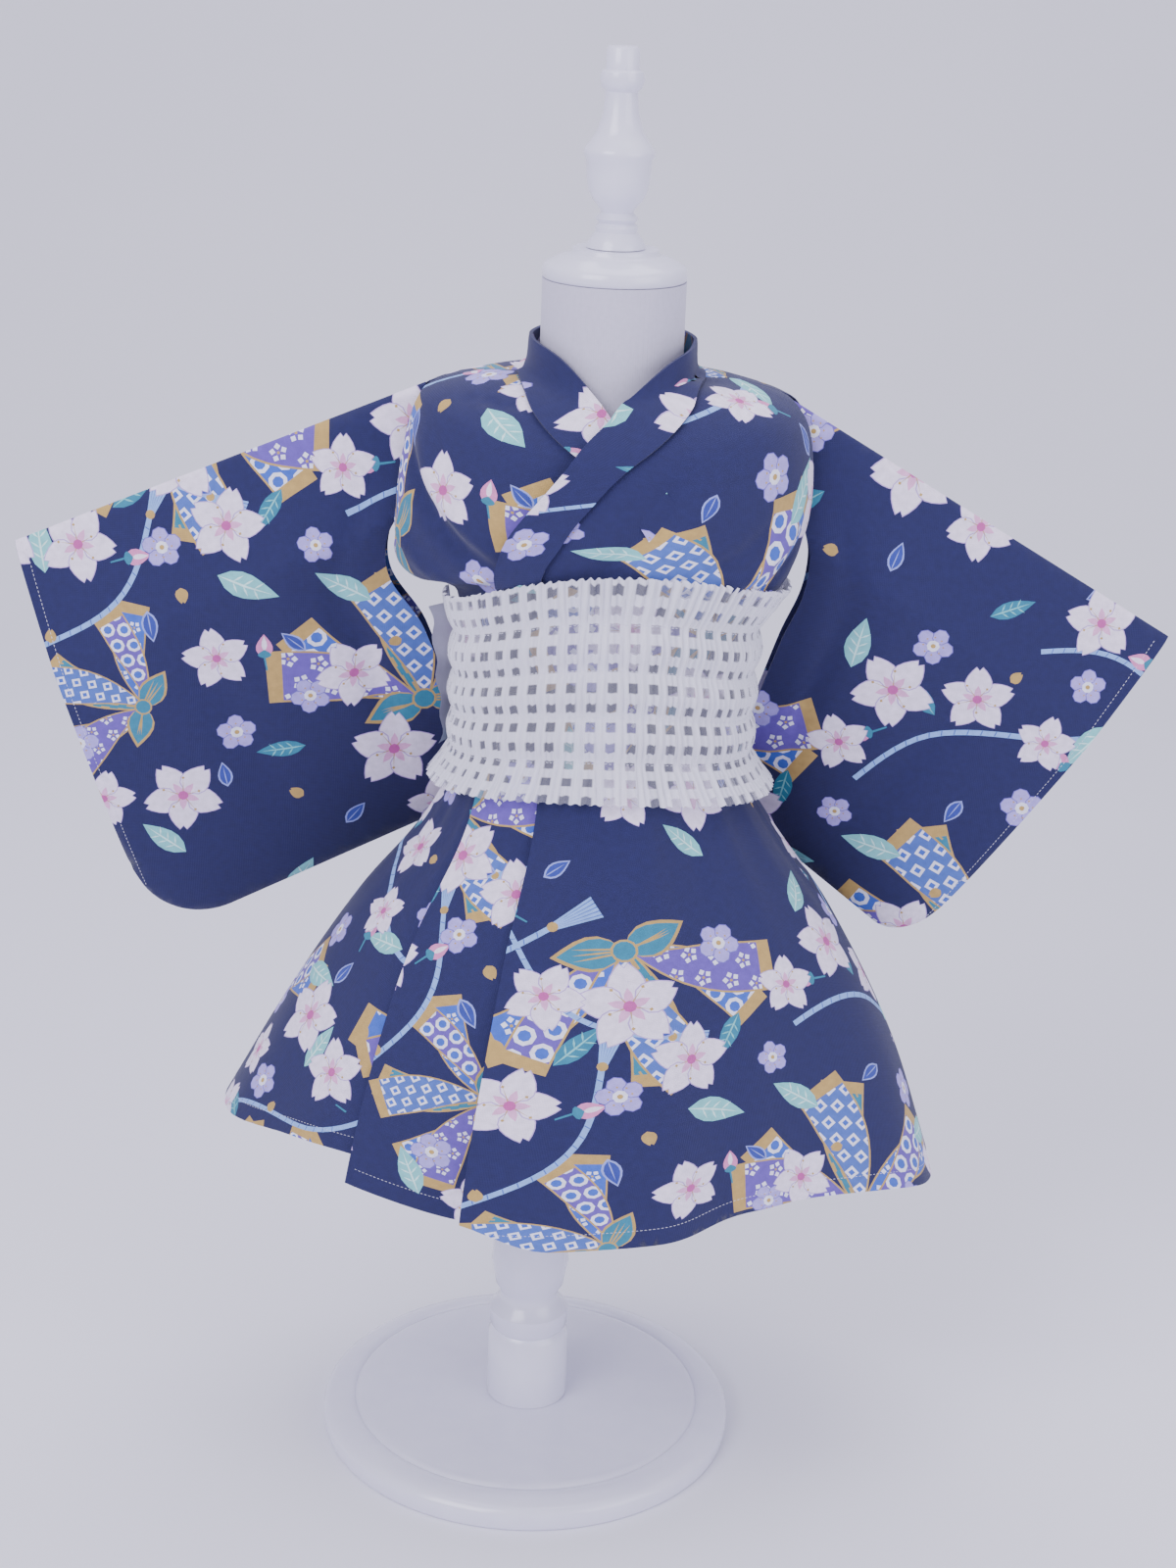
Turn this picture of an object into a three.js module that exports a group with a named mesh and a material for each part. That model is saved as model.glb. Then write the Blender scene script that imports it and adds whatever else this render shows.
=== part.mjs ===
// A toddler's cotton yukata dress worn by a small limbless dress form on a turned wooden stand.
// Millimetres, +Z up. The wearer faces -Y, so the wearer's left is +X.
// The origin is the centre of the stand's underside, on the surface that it stands on.
import * as THREE from "three";

const RAD = Math.PI / 180;

// ---------------------------------------------------------------- driving sizes
const CLOTH = 1.2; // thickness of each cloth wall
const SEAM = 0.3; // gap kept between neighbouring pieces
const LAYER = CLOTH + 0.8; // one layer of cloth and the air over it
const BODY_X = 27; // the form's centre line lies this far from the post's
const NECK_X = -1.5; // the neck leans this far to the wearer's right

const BASE = { radius: 114, rim: 9.5, top: 16, plateau: 96 };
const POST = { foot: 22.5, waist: 16, head: 20 };
const NECK = { radius: 35.5, top: 642 };
const CAP = { radius: 35.8, top: 657 };
const FINIAL = { top: 752 };

// ---------------------------------------------------------------- tables and sampling
// Each row is one ring. left, right = half widths at the wearer's right (-X) and left (+X); depth = half
// depth; side, front, back = heights of the ring there.
// Upper garment, from the collar stand (t < 0) to the waist seam (t = 1); blouse = how far it hangs out
// over the obi at the wearer's right side.
const BODICE_RINGS = [
  { t: -0.15, left: 38.5, right: 36.5, depth: 38.5, side: 615, front: 607, back: 617, blouse: 0 },
  { t: 0.0, left: 43, right: 40.5, depth: 43, side: 596, front: 589, back: 600, blouse: 0 },
  { t: 0.12, left: 66, right: 63, depth: 52, side: 594, front: 579, back: 591, blouse: 0 },
  { t: 0.25, left: 92, right: 88, depth: 61, side: 586.5, front: 566, back: 578, blouse: 0 },
  { t: 0.33, left: 99, right: 97, depth: 65, side: 576, front: 556, back: 566, blouse: 0 },
  { t: 0.45, left: 103, right: 101, depth: 68, side: 553, front: 540, back: 547, blouse: 1 },
  { t: 0.58, left: 101, right: 100, depth: 69, side: 527, front: 527, back: 525, blouse: 6 },
  { t: 0.7, left: 93, right: 92.5, depth: 68, side: 501, front: 517, back: 509, blouse: 13 },
  { t: 0.76, left: 87, right: 87, depth: 66.5, side: 491.5, front: 510, back: 501, blouse: 11 },
  { t: 0.8, left: 78, right: 83, depth: 64.5, side: 490, front: 505, back: 497, blouse: 5 },
  { t: 0.84, left: 74, right: 77, depth: 63.5, side: 485, front: 498, back: 490, blouse: 1 },
  { t: 0.9, left: 72.5, right: 72.5, depth: 62, side: 470, front: 480, back: 475, blouse: 0 },
  { t: 1.0, left: 72, right: 72, depth: 61, side: 440, front: 446, back: 444, blouse: 0 },
];
const BLOUSE_WIDTH = 42; // degrees on either side of the wearer's right side
// Skirt, from the waist seam (t = 0) to the hem (t = 1).
const SKIRT_RINGS = [
  { t: 0.0, left: 71, right: 71, depth: 60, side: 439, front: 445, back: 443 },
  { t: 0.2, left: 74, right: 73, depth: 64, side: 392, front: 398, back: 396 },
  { t: 0.32, left: 87, right: 90, depth: 73, side: 361, front: 365, back: 364 },
  { t: 0.5, left: 124, right: 127, depth: 88, side: 312, front: 310, back: 313 },
  { t: 0.75, left: 163, right: 163, depth: 102, side: 246, front: 238, back: 246 },
  { t: 1.0, left: 197, right: 188, depth: 111, side: 178, front: 175, back: 180 },
];
const HEM_TILT = 0.06; // the hem hangs lower towards +X by this much of x
// Flutes of the skirt: at = direction from the front, width = half width, out = how far they stand out at
// the hem.
const FLUTES = [
  { at: -6, width: 28, out: 7 },
  { at: 44, width: 32, out: -19 },
  { at: 24, width: 13, out: -5 },
  { at: 108, width: 22, out: 7 },
  { at: 140, width: 20, out: -6 },
  { at: 172, width: 22, out: 7 },
  { at: -152, width: 19, out: -6 },
  { at: -118, width: 21, out: 6 },
  { at: -62, width: 16, out: -4 },
];
// How far the front hem hangs below its ring.
const HEM_DROP = [
  { at: -180, drop: 0 },
  { at: -60, drop: 0 },
  { at: -24, drop: 7 },
  { at: 0, drop: 2 },
  { at: 14, drop: -2 },
  { at: 32, drop: -10 },
  { at: 60, drop: -10 },
  { at: 84, drop: 0 },
  { at: 180, drop: 0 },
];
// Obi, from its top edge (t = 0) to its bottom edge (t = 1); it is drawn in along four elastic rows.
const OBI_RINGS = [
  { t: 0, left: 81, right: 93, depth: 75.5, side: 487, front: 511, back: 498 },
  { t: 0.1, left: 79, right: 85, depth: 74.5, side: 476, front: 498, back: 486 },
  { t: 0.2, left: 76, right: 78.5, depth: 72.5, side: 466, front: 487, back: 475 },
  { t: 0.3, left: 78, right: 80, depth: 74.5, side: 455, front: 475.5, back: 464 },
  { t: 0.4, left: 76, right: 77, depth: 72.5, side: 444, front: 464, back: 452 },
  { t: 0.5, left: 78, right: 79, depth: 74.5, side: 433.5, front: 452, back: 441 },
  { t: 0.6, left: 76, right: 77, depth: 72.5, side: 423, front: 440, back: 429 },
  { t: 0.7, left: 78, right: 79, depth: 74, side: 413, front: 428, back: 418 },
  { t: 0.8, left: 77, right: 78, depth: 72, side: 403, front: 416, back: 407 },
  { t: 0.9, left: 81.5, right: 83, depth: 74, side: 394, front: 406, back: 397 },
  { t: 1, left: 88, right: 90, depth: 77.5, side: 384.5, front: 396, back: 387 },
];
const OBI_TILT = 0.059; // its top edge rises towards +X by this much of x
// The torso inside the cloth, from its underside to the foot of the neck.
const TORSO_RINGS = [
  { t: 0.0, left: 60, right: 60, depth: 50, side: 214, front: 214, back: 214 },
  { t: 0.06, left: 74, right: 74, depth: 60, side: 224, front: 224, back: 224 },
  { t: 0.25, left: 80, right: 80, depth: 64, side: 300, front: 300, back: 300 },
  { t: 0.5, left: 66, right: 66, depth: 54, side: 420, front: 420, back: 420 },
  { t: 0.72, left: 80, right: 78, depth: 60, side: 520, front: 520, back: 520 },
  { t: 0.85, left: 86, right: 82, depth: 54, side: 560, front: 556, back: 560 },
  { t: 0.92, left: 76, right: 74, depth: 46, side: 582, front: 570, back: 578 },
  { t: 0.97, left: 48, right: 46, depth: 39, side: 588, front: 581, back: 589 },
  { t: 1.0, left: 38, right: 35.5, depth: 36.5, side: 595, front: 591, back: 596 },
];
// Sleeves as flat envelopes in the X-Z plane. inner = the edge towards the body, from the shoulder down;
// cuffTop and cuffBottom = the mouth's two ends before its lower corner is rounded by corner.
const SLEEVES = {
  sleeve_right: {
    side: -1,
    inner: [
      { r: 0, x: 93, z: 588 },
      { r: 0.13, x: 97, z: 556 },
      { r: 0.25, x: 101.5, z: 530 },
      { r: 0.34, x: 111, z: 509 },
      { r: 0.44, x: 110.5, z: 486 },
      { r: 0.58, x: 93, z: 455 },
      { r: 1, x: 61, z: 350 },
    ],
    cuffTop: { x: 300, z: 499 },
    cuffBottom: { x: 236, z: 274 },
    corner: 46,
  },
  sleeve_left: {
    side: 1,
    inner: [
      { r: 0, x: 89, z: 586 },
      { r: 0.13, x: 94, z: 553 },
      { r: 0.25, x: 97.5, z: 527 },
      { r: 0.34, x: 102.5, z: 507 },
      { r: 0.44, x: 101, z: 484 },
      { r: 0.58, x: 92, z: 455 },
      { r: 1, x: 66, z: 354 },
    ],
    cuffTop: { x: 288, z: 472 },
    cuffBottom: { x: 171, z: 284 },
    corner: 34,
  },
};
// half = half the depth of the envelope; the part below the armhole hangs back by drop.
const SLEEVE = { half: 8, drop: 68, dropFrom: 0.3 };
// The collar band: along = share of its length from the centre back, then the direction and ring of its
// neck edge and of its seam edge.
const COLLAR = [
  { along: 0, neckAt: 180, neckT: -0.14, seamAt: 180, seamT: 0.03 },
  { along: 0.11, neckAt: 140, neckT: -0.14, seamAt: 141, seamT: 0.03 },
  { along: 0.22, neckAt: 104, neckT: -0.14, seamAt: 103, seamT: 0.03 },
  { along: 0.31, neckAt: 72, neckT: -0.14, seamAt: 73, seamT: 0.04 },
  { along: 0.41, neckAt: 37, neckT: -0.125, seamAt: 48, seamT: 0.08 },
  { along: 0.5, neckAt: 12, neckT: -0.02, seamAt: 28, seamT: 0.16 },
  { along: 0.6, neckAt: -4, neckT: 0.16, seamAt: 13, seamT: 0.245 },
  { along: 0.71, neckAt: -12, neckT: 0.312, seamAt: 2, seamT: 0.33 },
  { along: 0.82, neckAt: -21, neckT: 0.47, seamAt: -7, seamT: 0.47 },
  { along: 0.91, neckAt: -30, neckT: 0.638, seamAt: -14, seamT: 0.64 },
  { along: 1, neckAt: -38, neckT: 0.79, seamAt: -23, seamT: 0.81 },
];

const lerp = (a, b, s) => a + (b - a) * s;
const clamp01 = (s) => Math.min(1, Math.max(0, s));
const smooth = (from, to, x) => {
  const s = clamp01((x - from) / (to - from));
  return s * s * (3 - 2 * s);
};

// One column of a table at t, by a smooth curve through its rows.
function sample(rows, key, t, column) {
  let i = 0;
  while (i < rows.length - 2 && t > rows[i + 1][key]) i++;
  const slope = (k) => {
    const a = rows[Math.max(0, k - 1)];
    const b = rows[Math.min(rows.length - 1, k + 1)];
    return (b[column] - a[column]) / (b[key] - a[key]);
  };
  const p = rows[i];
  const q = rows[i + 1];
  const h = q[key] - p[key];
  const s = clamp01((t - p[key]) / h);
  const s2 = s * s;
  const s3 = s2 * s;
  return (
    (2 * s3 - 3 * s2 + 1) * p[column] +
    (s3 - 2 * s2 + s) * h * slope(i) +
    (3 * s2 - 2 * s3) * q[column] +
    (s3 - s2) * h * slope(i + 1)
  );
}

// A point of a ring: at = direction in degrees from the front (-Y), positive towards +X.
function ringPoint(rows, at, t) {
  const s = Math.sin(at * RAD);
  const c = Math.cos(at * RAD);
  const width = sample(rows, "t", t, s < 0 ? "left" : "right");
  const side = sample(rows, "t", t, "side");
  const end = sample(rows, "t", t, c > 0 ? "front" : "back");
  return new THREE.Vector3(
    width * s,
    -sample(rows, "t", t, "depth") * c,
    side + (end - side) * c * c,
  );
}

// A point moved out along the surface's normal by lift.
function lifted(surface, u, v, lift) {
  const e = 1e-3;
  const p = surface(u, v);
  const du = surface(u + e, v).sub(surface(u - e, v));
  const dv = surface(u, v + e).sub(surface(u, v - e));
  return p.addScaledVector(dv.cross(du).normalize(), lift);
}

function bodice(at, t) {
  const p = ringPoint(BODICE_RINGS, at, t);
  const away = Math.abs(((at + 90 + 540) % 360) - 180) / BLOUSE_WIDTH;
  if (away < 1) p.x -= sample(BODICE_RINGS, "t", t, "blouse") * Math.cos((away * Math.PI) / 2) ** 2;
  return p;
}

// How far the skirt's flutes stand out in a direction.
function flute(at) {
  let out = 0;
  for (const f of FLUTES) {
    const away = Math.abs(((at - f.at + 540) % 360) - 180) / f.width;
    if (away < 1) out += f.out * Math.cos((away * Math.PI) / 2) ** 2;
  }
  return out;
}

function skirt(at, t) {
  const p = ringPoint(SKIRT_RINGS, at, t);
  const grow = clamp01((t - 0.2) / 0.8) ** 1.3;
  const away = new THREE.Vector3(p.x, p.y, 0).normalize();
  p.addScaledVector(away, flute(at) * grow);
  p.z -= (HEM_TILT * p.x + sample(HEM_DROP, "at", ((at + 540) % 360) - 180, "drop")) * grow;
  return p;
}

// ---------------------------------------------------------------- solids
// Turns grids of points into one closed solid: outer and inner are [row][column] of points.
function wall(outer, inner, closed) {
  const rows = outer.length;
  const cols = outer[0].length;
  const points = [];
  for (const grid of [outer, inner]) for (const row of grid) points.push(...row);
  const id = (layer, i, j) => layer * rows * cols + i * cols + (j % cols);
  const faces = [];
  const quad = (a, b, c, d) => faces.push(a, b, c, a, c, d);
  const spans = closed ? cols : cols - 1;
  for (let i = 0; i < rows - 1; i++)
    for (let j = 0; j < spans; j++) {
      quad(id(0, i, j), id(0, i + 1, j), id(0, i + 1, j + 1), id(0, i, j + 1));
      quad(id(1, i, j), id(1, i, j + 1), id(1, i + 1, j + 1), id(1, i + 1, j));
    }
  for (let j = 0; j < spans; j++) {
    quad(id(0, 0, j), id(0, 0, j + 1), id(1, 0, j + 1), id(1, 0, j));
    quad(id(0, rows - 1, j), id(1, rows - 1, j), id(1, rows - 1, j + 1), id(0, rows - 1, j + 1));
  }
  if (!closed)
    for (let i = 0; i < rows - 1; i++) {
      quad(id(0, i, 0), id(1, i, 0), id(1, i + 1, 0), id(0, i + 1, 0));
      quad(id(0, i, cols - 1), id(0, i + 1, cols - 1), id(1, i + 1, cols - 1), id(1, i, cols - 1));
    }
  return solid(points, faces);
}

// A geometry whose faces point out.
function solid(points, faces) {
  let volume = 0;
  for (let k = 0; k < faces.length; k += 3) {
    const [a, b, c] = [0, 1, 2].map((n) => points[faces[k + n]]);
    volume += a.dot(b.clone().cross(c));
  }
  if (volume < 0)
    for (let k = 0; k < faces.length; k += 3)
      [faces[k], faces[k + 1]] = [faces[k + 1], faces[k]];
  const geometry = new THREE.BufferGeometry();
  const flat = points.flatMap((p) => [p.x, p.y, p.z]);
  geometry.setAttribute("position", new THREE.Float32BufferAttribute(flat, 3));
  geometry.setIndex(faces);
  geometry.computeVertexNormals();
  return geometry;
}

// A panel of a surface, with a row of points for each of rows; columns(v) gives the directions in a row,
// lift(at, v) how far the panel is moved out there.
function panel({ surface, rows, columns, lift }) {
  const grid = (extra) =>
    rows.map((v) => columns(v).map((at) => lifted(surface, at, v, lift(at, v) + extra)));
  return wall(grid(CLOTH), grid(0), false);
}

// The numbers from a to b in equal steps.
const steps = (a, b, count) => Array.from({ length: count + 1 }, (_, i) => lerp(a, b, i / count));

// ---------------------------------------------------------------- the dress form and its stand
const lathe = (profile, segments) =>
  new THREE.LatheGeometry(
    profile.map(([r, z]) => new THREE.Vector2(r, z)),
    segments,
  ).rotateX(Math.PI / 2);

function base() {
  const { radius, rim, top, plateau } = BASE;
  return lathe(
    [
      [0, 0],
      [radius - 1.5, 0],
      [radius, 1.5],
      [radius, rim],
      [radius - 4, top - 3],
      [plateau + 4, top - 0.8],
      [plateau, top - 2],
      [plateau - 3, top],
      [0, top],
    ],
    48,
  );
}

function post() {
  const { foot, waist, head } = POST;
  const top = TORSO_RINGS[0].side - SEAM;
  const z = BASE.top + SEAM;
  return lathe(
    [
      [0, z],
      [foot, z],
      [foot - 0.5, 55],
      [foot - 3, 58],
      [foot - 1, 61],
      [foot - 0.8, 70],
      [waist + 1, 75],
      [waist, 78],
      [waist + 3, 86],
      [foot - 1, 100],
      [head, 125],
      [head - 2, 165],
      [head, top],
      [0, top],
    ],
    28,
  );
}

function cap() {
  const z = NECK.top + SEAM;
  const { radius, top } = CAP;
  return lathe(
    [
      [0, z],
      [radius - 1, z],
      [radius, z + 3],
      [radius - 1.5, z + 7],
      [radius - 6, z + 9],
      [radius - 7, z + 10],
      [22, top - 2.6],
      [21, top],
      [0, top],
    ],
    32,
  );
}

function finial() {
  const z = CAP.top + SEAM;
  return lathe(
    [
      [0, z],
      [14.5, z],
      [13.4, z + 4],
      [10, z + 8],
      [10.6, z + 10],
      [8.6, z + 12],
      [10.6, z + 14],
      [7.6, z + 17],
      [12, z + 22],
      [15.4, z + 32],
      [16, z + 42],
      [17.4, z + 44],
      [17, z + 47],
      [11.5, z + 54],
      [8.6, z + 64],
      [7.7, z + 75],
      [10, z + 76],
      [10.9, z + 79.5],
      [10, z + 83],
      [8, z + 84],
      [8, FINIAL.top - 1],
      [7, FINIAL.top],
      [0, FINIAL.top],
    ],
    24,
  );
}

// The torso and neck are one padded body.
function torso() {
  const around = 28;
  const points = [];
  const faces = [];
  for (const t of steps(0, 1, 12))
    for (let j = 0; j < around; j++) points.push(ringPoint(TORSO_RINGS, (j * 360) / around, t));
  for (const z of [604, NECK.top])
    for (let j = 0; j < around; j++) {
      const a = (j * 2 * Math.PI) / around;
      const x = NECK_X + NECK.radius * Math.sin(a);
      points.push(new THREE.Vector3(x, -NECK.radius * Math.cos(a), z));
    }
  const rings = points.length / around;
  for (let i = 0; i < rings - 1; i++)
    for (let j = 0; j < around; j++) {
      const [a, b] = [i * around + j, i * around + ((j + 1) % around)];
      faces.push(a, b, b + around, a, b + around, a + around);
    }
  const low = points.length;
  points.push(new THREE.Vector3(0, 0, TORSO_RINGS[0].side), new THREE.Vector3(NECK_X, 0, NECK.top));
  for (let j = 0; j < around; j++) {
    const k = (j + 1) % around;
    const last = (rings - 1) * around;
    faces.push(low, k, j, low + 1, last + j, last + k);
  }
  return solid(points, faces);
}

// ---------------------------------------------------------------- the yukata
const ARMHOLE = { from: 0.22, to: 0.71, half: 8.5 }; // rings that it spans, and its half width in degrees
const SIDE_SEAM = 0.3; // half of the gap at a seam, in degrees
const BODICE_ROWS = steps(0, 1, 14);

// Half width of the opening between front and back at the side.
function sideGap(t) {
  const { from, to, half } = ARMHOLE;
  const open = smooth(from, from + 0.07, t) * (1 - smooth(to - 0.07, to, t));
  return SIDE_SEAM + half * open;
}

// Direction of a front's overlapping edge, which runs under the middle of its collar band.
const OVERLAP_EDGE = COLLAR.filter((row) => row.along >= 0.31).map((row) => ({
  t: (row.neckT + row.seamT) / 2,
  at: (row.neckAt + row.seamAt) / 2,
}));

// The left front lies on the right front and its collar, and comes down to the side seam.
const overlapLift = (at) => 2 * LAYER * (1 - smooth(46, 80, at));

function front(side) {
  const onTop = side > 0;
  return panel({
    surface: bodice,
    rows: BODICE_ROWS,
    columns: (t) => steps(side * sample(OVERLAP_EDGE, "t", t, "at"), side * (90 - sideGap(t)), 10),
    lift: (at) => (onTop ? overlapLift(at) : 0),
  });
}

const back = () =>
  panel({
    surface: bodice,
    rows: BODICE_ROWS,
    columns: (t) => steps(90 + sideGap(t), 270 - sideGap(t), 14),
    lift: () => 0,
  });

const NECK_ROLL = 0.6; // the collar stands this much further off round the neck

function collar(side) {
  const onTop = side > 0;
  const grid = (extra) =>
    steps(0.003, 1, 24).map((along) => {
      const column = (name) => sample(COLLAR, "along", along, name);
      return steps(0, 1, 3).map((share) => {
        const at = lerp(column("neckAt"), column("seamAt"), share);
        const t = lerp(column("neckT"), column("seamT"), share);
        const lift = LAYER + NECK_ROLL * (1 - smooth(0, 0.15, t)) + (onTop ? overlapLift(at) : 0);
        return lifted(bodice, side * at, t, lift + extra);
      });
    });
  return wall(grid(CLOTH), grid(0), false);
}

// How much of the sleeve's depth is left at s along it, where its lower corner is rounded.
function sleeveDepth(shape, s) {
  const { cuffTop, cuffBottom, inner, corner } = shape;
  const depth = Math.hypot(cuffTop.x - cuffBottom.x, cuffTop.z - cuffBottom.z);
  const away = (1 - s) * (cuffTop.x - inner[0].x);
  if (away >= corner) return 1;
  return 1 - (corner - Math.sqrt(corner ** 2 - (corner - away) ** 2)) / depth;
}

// A point of a sleeve: s = share of its length from the body, q = share of the way round, from the top
// fold down the front and up the back; out = how far it is moved out.
function sleevePoint(shape, s, q, out) {
  const { side, inner, cuffTop, cuffBottom } = shape;
  const share = q < 0.5 ? q * 2 : 2 - q * 2;
  const r = share * sleeveDepth(shape, s);
  const x = lerp(sample(inner, "r", r, "x"), lerp(cuffTop.x, cuffBottom.x, r), s);
  const z = lerp(sample(inner, "r", r, "z"), lerp(cuffTop.z, cuffBottom.z, r), s);
  const swell = Math.sqrt(Math.max(0, Math.sin(share * Math.PI)));
  const back = SLEEVE.drop * clamp01((r - SLEEVE.dropFrom) / (1 - SLEEVE.dropFrom)) * (1 - 0.6 * s);
  return new THREE.Vector3(
    side * x,
    back + (q < 0.5 ? -1 : 1) * (SLEEVE.half + out) * swell,
    z + out * Math.cos(share * Math.PI),
  );
}

function sleeve(shape) {
  const around = 22;
  const grid = (out) =>
    steps(0, 1, 10).map((s) =>
      Array.from({ length: around }, (_, j) => sleevePoint(shape, s, j / around, out)),
    );
  return wall(grid(0), grid(-CLOTH), true);
}

// The skirt panels share their rows and columns, so that one lies evenly on the next.
const PLEAT = 5; // degrees between columns
const skirtRows = (hem) => [0, 0.12, 0.22, 0.32, 0.42, 0.55, 0.7, 0.85, hem];
const every = (from, to) => steps(from, to, Math.round((to - from) / PLEAT));
const EDGE_RIGHT_FRONT = { top: -54, hem: -38.5 }; // free side edge of the right front skirt
const EDGE_LEFT_FRONT = { top: -24, hem: -16 }; // overlapping edge of the left front skirt
const CORNER_OUT = 18; // the left front's free corner stands this far off the right front

const skirtFrontLeft = () =>
  panel({
    surface: skirt,
    rows: skirtRows(1),
    columns: (t) => [lerp(EDGE_LEFT_FRONT.top, EDGE_LEFT_FRONT.hem, t), ...every(-15, 85)],
    lift: (at, t) => {
      const layers = 2 - smooth(12, 30, at);
      const corner = (1 - smooth(-24, 6, at)) * smooth(0.5, 1, t);
      return LAYER * layers + CORNER_OUT * corner;
    },
  });

const skirtFrontRight = () =>
  panel({
    surface: skirt,
    rows: skirtRows(0.965),
    columns: (t) => {
      const edge = lerp(EDGE_RIGHT_FRONT.top, EDGE_RIGHT_FRONT.hem, t);
      return [edge, (edge - 30) / 2, ...every(-30, 10)];
    },
    lift: () => LAYER,
  });

// The back panel's hem rises towards its end at the wearer's right front.
function backHem(at) {
  const away = at > 180 ? 360 - at : 90;
  return lerp(0.9, 0.985, smooth(30, 84, away));
}

const skirtBack = () =>
  panel({
    surface: (at, t) => skirt(at, t < 0.85 ? t : lerp(0.85, backHem(at), (t - 0.85) / 0.15)),
    rows: skirtRows(1),
    columns: () => every(65, 330),
    lift: () => 0,
  });

function obi(at, t) {
  const p = ringPoint(OBI_RINGS, at, t);
  p.z += OBI_TILT * p.x * (1 - t);
  return p;
}

const obiFront = () =>
  panel({
    surface: obi,
    rows: steps(0, 1, 10),
    columns: () => steps(-97, 97, 24),
    lift: () => 0,
  });

// The plain back band, whose closing end stands out at the wearer's right side.
const TAB = { from: 250, to: 264, out: 14 };
const obiBack = () =>
  panel({
    surface: (at, t) => {
      const p = obi(at, t);
      p.x -= TAB.out * smooth(TAB.from, TAB.to, at) * (1 - 0.8 * t);
      return p;
    },
    rows: [0.12, 0.2, 0.4, 0.6, 0.8, 0.88],
    columns: () => steps(97.6, 262, 16),
    lift: () => 0,
  });

// ---------------------------------------------------------------- materials and assembly
const finish = (color, roughness) => new THREE.MeshStandardMaterial({ color, roughness, metalness: 0 });
const printedCotton = finish(0x1e2458, 0.85);
const collarCotton = finish(0x6f83c8, 0.85);
const shirredVoile = finish(0xe6e4f4, 0.8);
const formCover = finish(0xcfcbe0, 0.9);
const paintedWood = finish(0xd9d8f2, 0.35);

function place(group, name, geometry, material) {
  const mesh = new THREE.Mesh(geometry, material);
  mesh.name = name;
  group.add(mesh);
}

const part = new THREE.Group();
place(part, "stand_base", base(), paintedWood);
place(part, "stand_post", post(), paintedWood);

const dressed = new THREE.Group();
dressed.position.x = BODY_X;
part.add(dressed);
place(dressed, "form_torso", torso(), formCover);
place(dressed, "form_cap", cap().translate(NECK_X, 0, 0), paintedWood);
place(dressed, "form_finial", finial().translate(NECK_X, 0, 0), paintedWood);
place(dressed, "bodice_back", back(), printedCotton);
place(dressed, "bodice_front_right", front(-1), printedCotton);
place(dressed, "bodice_front_left", front(1), printedCotton);
place(dressed, "collar_right", collar(-1), collarCotton);
place(dressed, "collar_left", collar(1), collarCotton);
for (const [name, shape] of Object.entries(SLEEVES)) place(dressed, name, sleeve(shape), printedCotton);
place(dressed, "skirt_back", skirtBack(), printedCotton);
place(dressed, "skirt_front_right", skirtFrontRight(), printedCotton);
place(dressed, "skirt_front_left", skirtFrontLeft(), printedCotton);
place(dressed, "obi_front", obiFront(), shirredVoile);
place(dressed, "obi_back", obiBack(), shirredVoile);

export default part;
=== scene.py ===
"""A toddler's printed cotton yukata with a shirred voile obi, on a small dress form, in a plain studio.

Lengths inside the garment's own functions are in millimetres; meshes are written in metres.
"""

import math

import bpy
import numpy as np
from bpy.props import FloatProperty, FloatVectorProperty, PointerProperty
from mathutils import Matrix, Vector
from mathutils.geometry import delaunay_2d_cdt


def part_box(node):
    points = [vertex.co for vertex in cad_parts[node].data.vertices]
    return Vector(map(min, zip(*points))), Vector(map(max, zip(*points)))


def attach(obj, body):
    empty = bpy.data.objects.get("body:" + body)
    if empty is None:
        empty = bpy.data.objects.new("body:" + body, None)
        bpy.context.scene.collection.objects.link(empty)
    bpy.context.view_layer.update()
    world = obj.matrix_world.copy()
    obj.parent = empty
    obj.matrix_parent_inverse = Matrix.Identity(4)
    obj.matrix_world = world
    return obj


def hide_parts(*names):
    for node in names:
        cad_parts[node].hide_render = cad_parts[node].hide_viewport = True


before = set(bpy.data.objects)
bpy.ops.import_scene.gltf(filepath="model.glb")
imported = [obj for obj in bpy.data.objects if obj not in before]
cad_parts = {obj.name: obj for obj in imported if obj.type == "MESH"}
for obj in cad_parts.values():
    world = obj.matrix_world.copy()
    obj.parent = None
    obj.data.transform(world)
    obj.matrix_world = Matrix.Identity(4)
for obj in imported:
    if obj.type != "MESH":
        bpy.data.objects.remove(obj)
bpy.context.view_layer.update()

bl_info = {
    "name": "Yukata on a Dress Form",
    "version": (1, 0, 0),
    "blender": (4, 5, 0),
    "location": "View3D > Sidebar > Yukata",
    "description": "Builds a printed cotton yukata, its obi, the dress form under them and a studio",
    "category": "Add Mesh",
}

MM = 0.001
CAP_LOW, CAP_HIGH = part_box("form_cap")
NECK_X = -1.5
BODY_X = (CAP_LOW.x + CAP_HIGH.x) / 2 / MM - NECK_X  # the form's centre line, in mm
LAYER = 2.0  # one layer of cloth and the air over it


# ---------------------------------------------------------------- tables and sampling
def table(names, *rows):
    """Rows of numbers as one array for each named column."""
    return dict(zip(names.split(), np.array(rows, float).T))


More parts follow.
